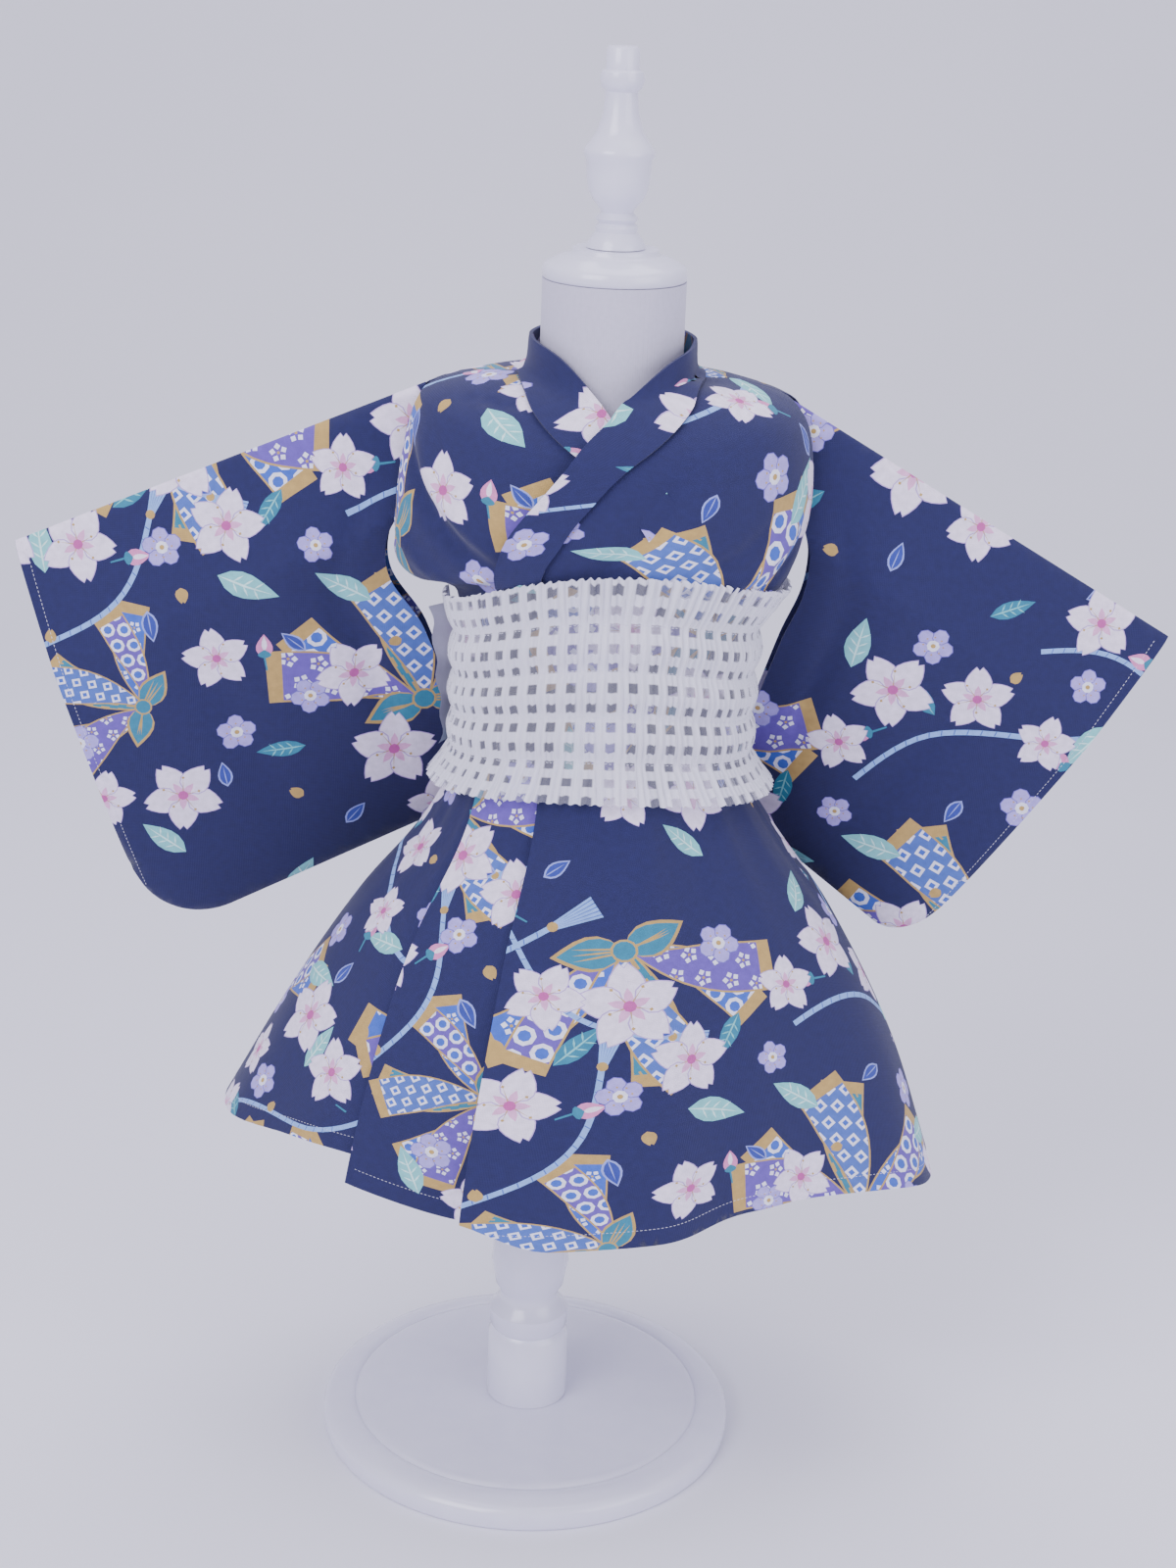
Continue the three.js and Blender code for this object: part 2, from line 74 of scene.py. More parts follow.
# Rings of the upper garment, t from the collar stand to the waist; widths, depth and heights in mm.
BODICE = table(
    "t left right depth side front back blouse",
    (-0.15, 38.5, 36.5, 38.5, 615, 607, 617, 0),
    (0.0, 43, 40.5, 43, 596, 589, 600, 0),
    (0.12, 66, 63, 52, 594, 579, 591, 0),
    (0.25, 92, 88, 61, 586.5, 566, 578, 0),
    (0.33, 99, 97, 65, 576, 556, 566, 0),
    (0.45, 103, 101, 68, 553, 540, 547, 1),
    (0.58, 101, 100, 69, 527, 527, 525, 6),
    (0.7, 93, 92.5, 68, 501, 517, 509, 13),
    (0.76, 87, 87, 66.5, 491.5, 510, 501, 11),
    (0.8, 78, 83, 64.5, 490, 505, 497, 5),
    (0.84, 74, 77, 63.5, 485, 498, 490, 1),
    (0.9, 72.5, 72.5, 62, 470, 480, 475, 0),
    (1.0, 72, 72, 61, 440, 446, 444, 0),
)
SKIRT = table(
    "t left right depth side front back",
    (0.0, 71, 71, 60, 439, 445, 443),
    (0.2, 74, 73, 64, 392, 398, 396),
    (0.32, 87, 90, 73, 361, 365, 364),
    (0.5, 124, 127, 88, 312, 310, 313),
    (0.75, 163, 163, 102, 246, 238, 246),
    (1.0, 197, 188, 111, 178, 175, 180),
)
# Flutes of the skirt: direction and half width in degrees, and how far they stand out at the hem.
FLUTES = table(
    "at width out",
    (-6, 28, 7),
    (44, 32, -19),
    (24, 13, -5),
    (108, 22, 7),
    (140, 20, -6),
    (172, 22, 7),
    (-152, 19, -6),
    (-118, 21, 6),
    (-62, 16, -4),
)
HEM_TILT = 0.06
HEM_DROP = table(
    "at drop",
    (-180, 0),
    (-60, 0),
    (-24, 7),
    (0, 2),
    (14, -2),
    (32, -10),
    (60, -10),
    (84, 0),
    (180, 0),
)
OBI = table(
    "t left right depth side front back",
    (0, 81, 93, 75.5, 487, 511, 498),
    (0.1, 79, 85, 74.5, 476, 498, 486),
    (0.2, 76, 78.5, 72.5, 466, 487, 475),
    (0.3, 78, 80, 74.5, 455, 475.5, 464),
    (0.4, 76, 77, 72.5, 444, 464, 452),
    (0.5, 78, 79, 74.5, 433.5, 452, 441),
    (0.6, 76, 77, 72.5, 423, 440, 429),
    (0.7, 78, 79, 74, 413, 428, 418),
    (0.8, 77, 78, 72, 403, 416, 407),
    (0.9, 81.5, 83, 74, 394, 406, 397),
    (1, 88, 90, 77.5, 384.5, 396, 387),
)
OBI_TILT = 0.059
TORSO = table(
    "t left right depth side front back",
    (0.0, 60, 60, 50, 214, 214, 214),
    (0.06, 74, 74, 60, 224, 224, 224),
    (0.25, 80, 80, 64, 300, 300, 300),
    (0.5, 66, 66, 54, 420, 420, 420),
    (0.72, 80, 78, 60, 520, 520, 520),
    (0.85, 86, 82, 54, 560, 556, 560),
    (0.92, 76, 74, 46, 582, 570, 578),
    (0.97, 48, 46, 39, 588, 581, 589),
    (1.0, 38, 35.5, 36.5, 595, 591, 596),
)
COLLAR = table(
    "along neck_at neck_t seam_at seam_t",
    (0, 180, -0.14, 180, 0.03),
    (0.11, 140, -0.14, 141, 0.03),
    (0.22, 104, -0.14, 103, 0.03),
    (0.31, 72, -0.14, 73, 0.04),
    (0.41, 37, -0.125, 48, 0.08),
    (0.5, 12, -0.02, 28, 0.16),
    (0.6, -4, 0.16, 13, 0.245),
    (0.71, -12, 0.312, 2, 0.33),
    (0.82, -21, 0.47, -7, 0.47),
    (0.91, -30, 0.638, -14, 0.64),
    (1, -38, 0.79, -23, 0.81),
)
SLEEVE_RIGHT = {
    "side": -1,
    "inner": table(
        "r x z",
        (0, 93, 588),
        (0.13, 97, 556),
        (0.25, 101.5, 530),
        (0.34, 111, 509),
        (0.44, 110.5, 486),
        (0.58, 93, 455),
        (1, 61, 350),
    ),
    "cuff_top": (300, 499),
    "cuff_bottom": (236, 274),
    "corner": 46,
}
SLEEVE_LEFT = {
    "side": 1,
    "inner": table(
        "r x z",
        (0, 89, 586),
        (0.13, 94, 553),
        (0.25, 97.5, 527),
        (0.34, 102.5, 507),
        (0.44, 101, 484),
        (0.58, 92, 455),
        (1, 66, 354),
    ),
    "cuff_top": (288, 472),
    "cuff_bottom": (171, 284),
    "corner": 34,
}
SLEEVE_HALF, SLEEVE_DROP, SLEEVE_DROP_FROM = 8.0, 68.0, 0.3


def smooth(low, high, x):
    s = np.clip((np.asarray(x, float) - low) / (high - low), 0, 1)
    return s * s * (3 - 2 * s)


def lerp(a, b, s):
    return a + (b - a) * s


def sample(rows, key, name, x):
    """One column of a table at x, by a smooth curve through its rows."""
    xs, ys = rows[key], rows[name]
    x = np.asarray(x, float)
    i = np.clip(np.searchsorted(xs, x) - 1, 0, len(xs) - 2)
    slopes = np.empty(len(xs))
    slopes[1:-1] = (ys[2:] - ys[:-2]) / (xs[2:] - xs[:-2])
    slopes[0] = (ys[1] - ys[0]) / (xs[1] - xs[0])
    slopes[-1] = (ys[-1] - ys[-2]) / (xs[-1] - xs[-2])
    h = xs[i + 1] - xs[i]
    s = np.clip((x - xs[i]) / h, 0, 1)
    return (
        (2 * s**3 - 3 * s**2 + 1) * ys[i]
        + (s**3 - 2 * s**2 + s) * h * slopes[i]
        + (3 * s**2 - 2 * s**3) * ys[i + 1]
        + (s**3 - s**2) * h * slopes[i + 1]
    )


def ring(rows, at, t):
    """Points of a table's rings: at is the direction from the front in degrees, positive towards +X."""
    s, c = np.sin(np.radians(at)), np.cos(np.radians(at))
    width = np.where(s < 0, sample(rows, "t", "left", t), sample(rows, "t", "right", t))
    side = sample(rows, "t", "side", t)
    end = np.where(c > 0, sample(rows, "t", "front", t), sample(rows, "t", "back", t))
    return np.stack([width * s, -sample(rows, "t", "depth", t) * c, side + (end - side) * c * c], -1)


def normals(face, u, v, e=1e-3):
    """Outward unit normals of a surface given as a function of two parameters."""
    du = face(u + e, v) - face(u - e, v)
    dv = face(u, v + e) - face(u, v - e)
    n = np.cross(dv, du)
    return n / np.maximum(np.linalg.norm(n, axis=-1, keepdims=True), 1e-9)


def creases(rows, u, v, scale_u, scale_v):
    """Soft troughs and ridges along straight lines from (u0, v0) to (u1, v1); sizes in mm."""
    out = np.zeros(np.broadcast(u, v).shape)
    for k in range(len(rows["u0"])):
        a = np.array([rows["u0"][k] * scale_u, rows["v0"][k] * scale_v])
        b = np.array([rows["u1"][k] * scale_u, rows["v1"][k] * scale_v])
        length = np.linalg.norm(b - a)
        d = (b - a) / length
        px, py = u * scale_u - a[0], v * scale_v - a[1]
        along = (px * d[0] + py * d[1]) / length
        across = (-px * d[1] + py * d[0]) / rows["width"][k]
        ends = smooth(-0.15, 0.25, along) * (1 - smooth(0.6, 1.15, along))
        out = out + FOLD_SCALE * rows["depth"][k] * ends * np.exp(-(across**2))
    return out


def wrap(at):
    return (np.asarray(at, float) + 540) % 360 - 180


def lifted(face, u, v, height):
    return face(u, v) + normals(face, u, v) * np.broadcast_to(height, np.shape(u))[..., None]


# ---------------------------------------------------------------- surfaces of the garment
BLOUSE_WIDTH = 42.0
ARMHOLE_FROM, ARMHOLE_TO, ARMHOLE_HALF = 0.22, 0.71, 8.5
SIDE_SEAM = 0.3
OVERLAP_AT = (COLLAR["neck_at"] + COLLAR["seam_at"])[3:] / 2
OVERLAP_EDGE = {"t": (COLLAR["neck_t"] + COLLAR["seam_t"])[3:] / 2, "at": OVERLAP_AT}
NECK_ROLL = 0.6
CORNER_OUT = 18.0

FOLD_COLUMNS = "u0 v0 u1 v1 width depth"
FOLD_SCALE = 1.35  # every fold is this much deeper than its row says
# Folds of the fronts, in degrees and rings: from the armpits down to the obi.
FOLDS_RIGHT_FRONT = table(
    FOLD_COLUMNS,
    (-74, 0.40, -36, 0.78, 6, -3.4),
    (-66, 0.37, -30, 0.74, 7, 2.2),
    (-56, 0.52, -24, 0.84, 5, -1.6),
    (-38, 0.13, -62, 0.20, 4, -1.6),
    (-80, 0.60, -58, 0.80, 5, 1.6),
)
FOLDS_LEFT_FRONT = table(
    FOLD_COLUMNS,
    (20, 0.32, -4, 0.82, 7, -2.2),
    (30, 0.36, 6, 0.84, 8, 1.4),
    (66, 0.55, 34, 0.80, 5, 2.0),
    (76, 0.60, 48, 0.82, 4, -1.8),
    (56, 0.48, 20, 0.80, 5, -1.2),
)
FOLDS_BACK = table(
    FOLD_COLUMNS,
    (112, 0.38, 140, 0.80, 7, -2.4),
    (246, 0.40, 218, 0.82, 7, -2.2),
    (165, 0.45, 172, 0.86, 8, 1.4),
    (196, 0.50, 190, 0.84, 6, -1.4),
)
FOLDS_SLEEVE = table(
    FOLD_COLUMNS,
    (0.13, 0.08, 0.20, 0.92, 9, -2.4),
    (0.34, 0.02, 0.30, 0.55, 12, 1.4),
    (0.62, 0.30, 0.52, 0.98, 14, -1.4),
    (0.02, 0.20, 0.40, 0.06, 7, -1.2),
)
# Gathers that run down the skirt from under the obi.
GATHERS = table(
    "at width depth reach",
    (-170, 5, 1.6, 0.32),
    (-158, 4, -1.3, 0.24),
    (-141, 6, 1.8, 0.36),
    (-126, 4, 1.2, 0.22),
    (-104, 5, -1.5, 0.30),
    (-88, 5, 1.5, 0.28),
    (-71, 4, -1.2, 0.34),
    (-52, 4, 1.4, 0.26),
    (-37, 3, 1.1, 0.20),
    (-21, 4, -1.4, 0.30),
    (-9, 4, 1.5, 0.24),
    (4, 3, -1.1, 0.34),
    (17, 5, 1.8, 0.30),
    (33, 4, -1.5, 0.24),
    (49, 5, 1.6, 0.36),
    (66, 4, 1.2, 0.22),
    (81, 5, -1.5, 0.30),
    (101, 5, 1.7, 0.28),
    (119, 4, -1.3, 0.34),
    (136, 5, 1.5, 0.26),
    (153, 4, 1.2, 0.22),
)


def bodice(at, t):
    p = ring(BODICE, at, t)
    away = np.clip(np.abs(wrap(np.asarray(at, float) + 90)) / BLOUSE_WIDTH, 0, 1)
    p[..., 0] -= sample(BODICE, "t", "blouse", t) * np.cos(away * math.pi / 2) ** 2
    return p


def skirt(at, t):
    p = ring(SKIRT, at, t)
    grow = np.clip((np.asarray(t, float) - 0.2) / 0.8, 0, 1) ** 1.3
    out = 0
    for f_at, width, reach in zip(FLUTES["at"], FLUTES["width"], FLUTES["out"]):
        away = np.clip(np.abs(wrap(np.asarray(at, float) - f_at)) / width, 0, 1)
        out = out + reach * np.cos(away * math.pi / 2) ** 2
    flat = np.hypot(p[..., 0], p[..., 1])
    x, y = p[..., 0] / flat, p[..., 1] / flat
    p[..., 0] += x * out * grow
    p[..., 1] += y * out * grow
    drop = sample(HEM_DROP, "at", "drop", wrap(at))
    p[..., 2] -= (HEM_TILT * p[..., 0] + drop) * grow
    return p


def obi(at, t):
    p = ring(OBI, at, t)
    p[..., 2] += OBI_TILT * p[..., 0] * (1 - np.asarray(t, float))
    return p


def side_gap(t):
    opening = smooth(ARMHOLE_FROM, ARMHOLE_FROM + 0.07, t) * (1 - smooth(ARMHOLE_TO - 0.07, ARMHOLE_TO, t))
    return SIDE_SEAM + ARMHOLE_HALF * opening


def overlap_lift(at):
    return 2 * LAYER * (1 - smooth(46, 80, at))


def gathers(at, t):
    out = 0
    for g_at, width, depth, reach in zip(*(GATHERS[k] for k in ("at", "width", "depth", "reach"))):
        along = smooth(0.14, 0.24, t) * (1 - smooth(0.2 + reach * 0.4, 0.3 + reach, t))
        out = out + depth * along * np.exp(-((wrap(at - g_at) / width) ** 2))
    return out


def sleeve_depth(shape, s):
    top, bottom = np.array(shape["cuff_top"]), np.array(shape["cuff_bottom"])
    corner = shape["corner"]
    away = np.clip((1 - s) * (top[0] - shape["inner"]["x"][0]), 0, corner)
    cut = corner - np.sqrt(np.maximum(corner**2 - (corner - away) ** 2, 0))
    return 1 - cut / np.linalg.norm(top - bottom)


def sleeve_plane(shape, s, r):
    """The sleeve's flat envelope: x outwards from the body and z, at s along it and r down it."""
    (top_x, top_z), (low_x, low_z) = shape["cuff_top"], shape["cuff_bottom"]
    x = lerp(sample(shape["inner"], "r", "x", r), lerp(top_x, low_x, r), s)
    z = lerp(sample(shape["inner"], "r", "z", r), lerp(top_z, low_z, r), s)
    return x, z


def sleeve_point(shape, s, share, wall, out):
    """wall is -1 on the front wall and 1 on the back one."""
    r = share * sleeve_depth(shape, s)
    x, z = sleeve_plane(shape, s, r)
    swell = np.sqrt(np.maximum(np.sin(share * math.pi), 0))
    hang = np.clip((r - SLEEVE_DROP_FROM) / (1 - SLEEVE_DROP_FROM), 0, 1) * (1 - 0.6 * s)
    y = SLEEVE_DROP * hang + wall * (SLEEVE_HALF + out) * swell
    return np.stack([shape["side"] * x, y, z + out * np.cos(share * math.pi)], -1)


def collar_place(side):
    def place(along, share, out):
        column = {k: sample(COLLAR, "along", k, along) for k in ("neck_at", "neck_t", "seam_at", "seam_t")}
        at = lerp(column["neck_at"], column["seam_at"], share)
        t = lerp(column["neck_t"], column["seam_t"], share)
        roll = NECK_ROLL * (1 - smooth(0, 0.15, t))
        over = overlap_lift(at) if side > 0 else 0
        return lifted(bodice, side * at, t, LAYER + roll + over + out)

    return place


# ---------------------------------------------------------------- the printed pattern
INK = {
    "ground": "#1A1D50",
    "petal": "#E8DEF2",
    "petal edge": "#B59BD6",
    "blush": "#DDA3CF",
    "heart": "#B9529A",
    "gold": "#B7975A",
    "ume": "#A79BE2",
    "ume edge": "#6E63BE",
    "mint": "#7CC3C6",
    "mint vein": "#C9EBE8",
    "teal": "#2E7C98",
    "leaf": "#34439C",
    "leaf edge": "#8E99DE",
    "cord": "#86A9E4",
    "cord shade": "#4B68B8",
    "bud": "#D582B6",
    "white": "#E6E6F8",
    "violet": "#6650AE",
    "blue": "#3D60C2",
}


def turned(points, size, turn, x, y):
    a = math.radians(turn)
    c, s = math.cos(a) * size, math.sin(a) * size
    points = np.asarray(points, float)
    return np.stack([points[:, 0] * c - points[:, 1] * s + x, points[:, 0] * s + points[:, 1] * c + y], -1)


def disc(radius, x=0.0, y=0.0, sides=12):
    a = np.arange(sides) * 2 * math.pi / sides
    return np.stack([x + radius * np.cos(a), y + radius * np.sin(a)], -1)


def spindle(length, width, count=6):
    """A pointed leaf shape from the origin along +Y."""
    s = np.linspace(0, 1, count + 1)
    half = width / 2 * np.sin(math.pi * s**0.8)
    right = np.stack([half, s * length], -1)
    return np.concatenate([right, np.stack([-half, s * length], -1)[::-1][1:-1]])


def cherry_petal(scale):
    """One notched petal along +Y, scaled about its own middle."""
    s = np.linspace(0.0, 0.88, 6)
    half = 0.37 * np.sin(math.pi * s**0.72 * 0.93) ** 0.85
    right = np.stack([half, 0.08 + 0.9 * s], -1)
    tip = np.array([(0.085, 0.99), (0.0, 0.88), (-0.085, 0.99)])
    left = right[::-1] * (-1, 1)
    outline = np.concatenate([right, tip, left[:-1]])
    return (outline - (0, 0.55)) * scale + (0, 0.55)


def cherry():
    shapes = []
    for k in range(5):
        shapes.append((turned(cherry_petal(1.0), 1, 72 * k, 0, 0), "petal edge"))
        shapes.append((turned(cherry_petal(0.93), 1, 72 * k, 0, 0), "petal"))
        shapes.append((turned(spindle(0.42, 0.2, 3), 1, 72 * k, 0, 0), "blush"))
    for k in range(5):
        reach = 0.4 if k % 2 else 0.5
        stalk = [(-0.014, 0.1), (0.014, 0.1), (0.0, reach)]
        shapes.append((turned(stalk, 1, 72 * k + 36, 0, 0), "gold"))
        shapes.append((turned(disc(0.042, 0, reach, 4), 1, 72 * k + 36, 0, 0), "gold"))
    shapes.append((disc(0.13, sides=8), "heart"))
    return shapes


def plum():
    shapes = []
    for k in range(5):
        shapes.append((turned(disc(0.4, 0, 0.56, 8), 1, 72 * k, 0, 0), "ume edge"))
        shapes.append((turned(disc(0.36, 0, 0.56, 8), 1, 72 * k, 0, 0), "ume"))
    shapes.append((disc(0.3, sides=8), "white"))
    for k in range(8):
        shapes.append((turned(disc(0.055, 0, 0.46, 4), 1, 45 * k, 0, 0), "gold"))
    shapes.append((disc(0.12, sides=8), "gold"))
    return shapes


def leaf(fill, vein, width=0.42):
    shapes = [(spindle(1, width), fill), (spindle(0.9, 0.035, 4), vein)]
    for y in (0.25, 0.42, 0.59):
        for side in (-1, 1):
            shapes.append((turned(spindle(0.2, 0.034, 2), 1, side * 50, 0, y), vein))
    return shapes


def edged_leaf():
    return [(spindle(1, 0.5), "leaf edge"), ((spindle(0.86, 0.38)) + (0, 0.07), "leaf"),
            (spindle(0.8, 0.04, 4), "leaf edge")]


def bud():
    return [(spindle(1, 0.62), "bud"), (spindle(0.62, 0.2, 5) + (0, 0.3), "petal"), (spindle(0.36, 0.5, 5), "teal"),
            (np.array([(-0.04, 0), (0.04, 0), (0.1, -0.5), (0.04, -0.5)]), "teal")]


def strip(centre, half):
    """A band of the given half widths along a centre line, as one closed outline."""
    d = np.gradient(centre, axis=0)
    d /= np.linalg.norm(d, axis=1, keepdims=True)
    side = np.stack([-d[:, 1], d[:, 0]], -1) * np.asarray(half)[:, None]
    return np.concatenate([centre + side, (centre - side)[::-1]])


def cord():
    """A braided cord 200 mm long with a tassel, in mm."""
    x = np.linspace(0, 200, 29)
    centre = np.stack([x, 15 * np.sin(x / 31)], -1)
    shapes = [(strip(centre, np.full(len(x), 1.7)), "cord")]
    for k in range(1, 28):
        braid = [(-0.9, -1.5), (-0.2, -1.5), (0.9, 1.5), (0.2, 1.5)]
        slope = math.degrees(math.atan(15 / 31 * math.cos(x[k] / 31)))
        shapes.append((turned(braid, 1, slope, *centre[k]), "cord shade"))
    end = centre[-1]
    shapes.append((turned([(0, -2), (26, -7), (26, 7), (0, 2)], 1, 20, *end), "cord"))
    for k in range(-2, 3):
        thread = [(4, k * 0.8), (26, k * 2.6 - 0.35), (26, k * 2.6 + 0.35)]
        shapes.append((turned(thread, 1, 20, *end), "cord shade"))
    shapes.append((turned(disc(3, 1, 0, 10), 1, 20, *end), "gold"))
    return shapes


def filling(kind, low, high):
    """Small traditional patterns over a box, in mm: waves, diamonds, stripes or rosettes."""
    shapes = []
    step = {"waves": 12.0, "diamonds": 10.0, "stripes": 6.0, "rosettes": 14.0}[kind]
    for row, y in enumerate(np.arange(low[1], high[1] + step, step)):
        for x in np.arange(low[0], high[0] + step, step) + (row % 2) * step / 2:
            if kind == "waves":
                for radius, ink in ((5.4, "white"), (3.1, "blue")):
                    shapes.append((disc(radius, x, y, 8), ink))
            elif kind == "diamonds":
                for reach, ink in ((4.2, "white"), (2.0, "blue")):
                    shapes.append((disc(reach, x, y, 4), ink))
            elif kind == "stripes":
                shapes.append((np.array([(x, y), (x + 1.1, y), (x + 1.1, y + step), (x, y + step)]), "gold"))
            else:
                for k in range(5):
                    shapes.append((turned(disc(1.8, 0, 3.3, 4), 1, 72 * k, x, y), "white"))
                shapes.append((disc(1.0, x, y, 4), "gold"))
    return shapes


RIBBONS = (
    ("waves", "blue", 62, 24, 0.10),
    ("rosettes", "violet", 38, 30, -0.12),
    ("stripes", "teal", 12, 26, 0.08),
    ("diamonds", "cord shade", -14, 30, -0.10),
    ("rosettes", "blue", -40, 25, 0.12),
    ("waves", "violet", -66, 22, -0.08),
)


def bundle():
    """Ribbons that fan from a knot, in mm; each is edged in gold and holds its own small pattern."""
    shapes = []
    for kind, ground, turn, width, bend in RIBBONS:
        y = np.linspace(4, 76, 13)
        centre = np.stack([bend * y * y / 20, y], -1)
        half = width / 2 * smooth(-12, 58, y)
        edge, field = strip(centre, half), strip(centre[:-1], half[:-1] - 1.1)
        low, high = field.min(0), field.max(0)
        shapes.append((turned(edge, 1, turn, 0, 0), "gold"))
        clip = turned(field, 1, turn, 0, 0)
        shapes.append((clip, ground))
        for outline, ink in filling(kind, low, high):
            if (outline.min(0) < high).all() and (outline.max(0) > low).all():
                shapes.append((turned(outline, 1, turn, 0, 0), ink, clip))
    for turn in (-100, 100):
        shapes.append((turned(spindle(34, 20), 1, turn, 0, 4), "gold"))
        shapes.append((turned(spindle(31, 17), 1, turn, 0, 4), "teal"))
        for k in (-3, 0, 3):
            shapes.append((turned(spindle(24, 1.2, 4), 1, turn + k * 2, 0, 4 + k * 0.3), "gold"))
    shapes.append((disc(6.5, 0, 4, 12), "gold"))
    shapes.append((disc(5.3, 0, 4, 12), "teal"))
    return shapes


MOTIFS = {
    "cherry": cherry(),
    "plum": plum(),
    "mint leaf": leaf("mint", "mint vein"),
    "teal leaf": leaf("teal", "mint", 0.36),
    "small leaf": edged_leaf(),
    "gold petal": [(cherry_petal(1.0) - (0, 0.5), "gold")],
    "bud": bud(),
    "cord": cord(),
    "bundle": bundle(),
}
MOTIF_REACH = {kind: max(np.hypot(*shape[0].T).max() for shape in MOTIFS[kind]) for kind in MOTIFS}
REPEAT = 300.0  # mm across one repeat of the print
# One repeat of the print; what is listed later lies on what is listed first.
LAYOUT = (
    ("bundle", 78, 92, 1.0, 24), ("bundle", 226, 236, 0.95, -158), ("bundle", 238, 70, 0.7, 80),
    ("cord", 20, 196, 0.9, 14), ("cord", 150, 30, 0.8, 62), ("cord", 120, 262, 0.75, -30),
    ("mint leaf", 112, 150, 34, -60), ("mint leaf", 40, 150, 32, 70), ("mint leaf", 176, 132, 30, 20),
    ("mint leaf", 262, 150, 33, -100), ("mint leaf", 150, 218, 30, 130), ("mint leaf", 24, 262, 30, -20),
    ("mint leaf", 268, 288, 28, 60), ("mint leaf", 120, 24, 30, -120), ("mint leaf", 196, 20, 28, 10),
    ("teal leaf", 64, 232, 27, 30), ("teal leaf", 204, 172, 28, -40), ("teal leaf", 20, 60, 26, 110),
    ("teal leaf", 286, 200, 26, 160), ("teal leaf", 96, 284, 24, -80), ("teal leaf", 172, 72, 26, 88),
    ("small leaf", 140, 168, 17, 10), ("small leaf", 12, 116, 16, 60), ("small leaf", 230, 124, 17, 200),
    ("small leaf", 186, 268, 16, -50), ("small leaf", 74, 182, 16, 140), ("small leaf", 284, 30, 15, 20),
    ("small leaf", 160, 288, 15, 100), ("small leaf", 48, 14, 16, -30), ("small leaf", 252, 190, 15, 70),
    ("bud", 128, 196, 15, 30), ("bud", 214, 148, 14, -70), ("bud", 32, 224, 15, 100), ("bud", 292, 108, 14, 10),
    ("bud", 100, 60, 13, -140), ("bud", 176, 246, 14, 60),
    ("plum", 104, 176, 12, 0), ("plum", 232, 158, 11, 20), ("plum", 18, 90, 11, 40), ("plum", 164, 100, 12, 10),
    ("plum", 274, 238, 12, 50), ("plum", 66, 272, 11, 30), ("plum", 142, 240, 10, 60), ("plum", 284, 62, 11, 15),
    ("plum", 8, 176, 10, 25), ("plum", 206, 44, 11, 5), ("plum", 108, 112, 10, 33),
    ("cherry", 66, 62, 23, 8), ("cherry", 38, 106, 20, 40), ("cherry", 96, 30, 18, 20),
    ("cherry", 148, 146, 23, 30), ("cherry", 190, 150, 20, 60), ("cherry", 232, 204, 23, 12),
    ("cherry", 196, 206, 18, 50), ("cherry", 262, 176, 20, 0), ("cherry", 44, 248, 22, 26),
    ("cherry", 86, 240, 19, 64), ("cherry", 14, 218, 17, 10), ("cherry", 262, 22, 21, 44),
    ("cherry", 222, 14, 17, 70), ("cherry", 152, 58, 20, 5), ("cherry", 136, 96, 17, 36),
    ("cherry", 268, 104, 18, 22), ("cherry", 118, 212, 16, 48), ("cherry", 152, 272, 19, 66),
    ("gold petal", 180, 178, 9, 40), ("gold petal", 56, 128, 8, 120), ("gold petal", 246, 136, 9, 200),
    ("gold petal", 106, 250, 8, 300), ("gold petal", 20, 30, 9, 70), ("gold petal", 184, 100, 8, 10),
)


def print_over(outline, shift, turn):
    """Every shape of the repeated print that touches a cut piece, in the order it is laid down."""
    a = math.radians(-turn)
    back = np.array([[math.cos(a), -math.sin(a)], [math.sin(a), math.cos(a)]])
    flat = outline @ back.T - shift
    first, last = np.floor((flat.min(0) - 90) / REPEAT), np.floor((flat.max(0) + 90) / REPEAT)
    low, high = outline.min(0), outline.max(0)
    shapes = []
    for kind, x, y, size, spin in LAYOUT:
        for i in np.arange(first[0], last[0] + 1):
            for j in np.arange(first[1], last[1] + 1):
                middle = turned([(x + i * REPEAT + shift[0], y + j * REPEAT + shift[1])], 1, turn, 0, 0)[0]
                reach = size * MOTIF_REACH[kind]
                if (middle + reach < low).any() or (middle - reach > high).any():
                    continue
                for shape in MOTIFS[kind]:
                    def laid(points):
                        tile = turned(points, size, spin, x + i * REPEAT, y + j * REPEAT) + shift
                        return turned(tile, 1, turn, 0, 0)

                    line = laid(shape[0])
                    if (line.max(0) < low).any() or (line.min(0) > high).any():
                        continue
                    shapes.append((line, shape[1], laid(shape[2]) if len(shape) > 2 else None))
    return shapes


# ---------------------------------------------------------------- meshes
GRID = 6.0  # mm between points inside a cloth
EDGE_STEP = 4.0  # mm between points along its edge
FACE_TOP, FACE_BACK = 1.1, 0.5  # where the cloth's two faces lie over the inside of its solid, in mm


def linear(code):
    """An sRGB hex colour as linear red, green, blue and alpha."""
    parts = [int(code[i : i + 2], 16) / 255 for i in (1, 3, 5)]
    return tuple(p / 12.92 if p <= 0.04045 else ((p + 0.055) / 1.055) ** 2.4 for p in parts) + (1.0,)


def resampled(line, gap):
    """A closed outline with points at most gap apart."""
    out = []
    for a, b in zip(line, np.roll(line, -1, 0)):
        length = np.linalg.norm(b - a)
        if length > 1e-6:
            n = max(1, math.ceil(length / gap))
            out += [a + (b - a) * k / n for k in range(n)]
    return np.array(out)


def inside(points, outline):
    """Which points lie in a closed outline."""
    x, y = points[:, 0], points[:, 1]
    result = np.zeros(len(points), bool)
    for (x0, y0), (x1, y1) in zip(outline, np.roll(outline, -1, 0)):
        if y0 != y1:
            result ^= ((y0 > y) != (y1 > y)) & (x < (x1 - x0) * (y - y0) / (y1 - y0) + x0)
    return result


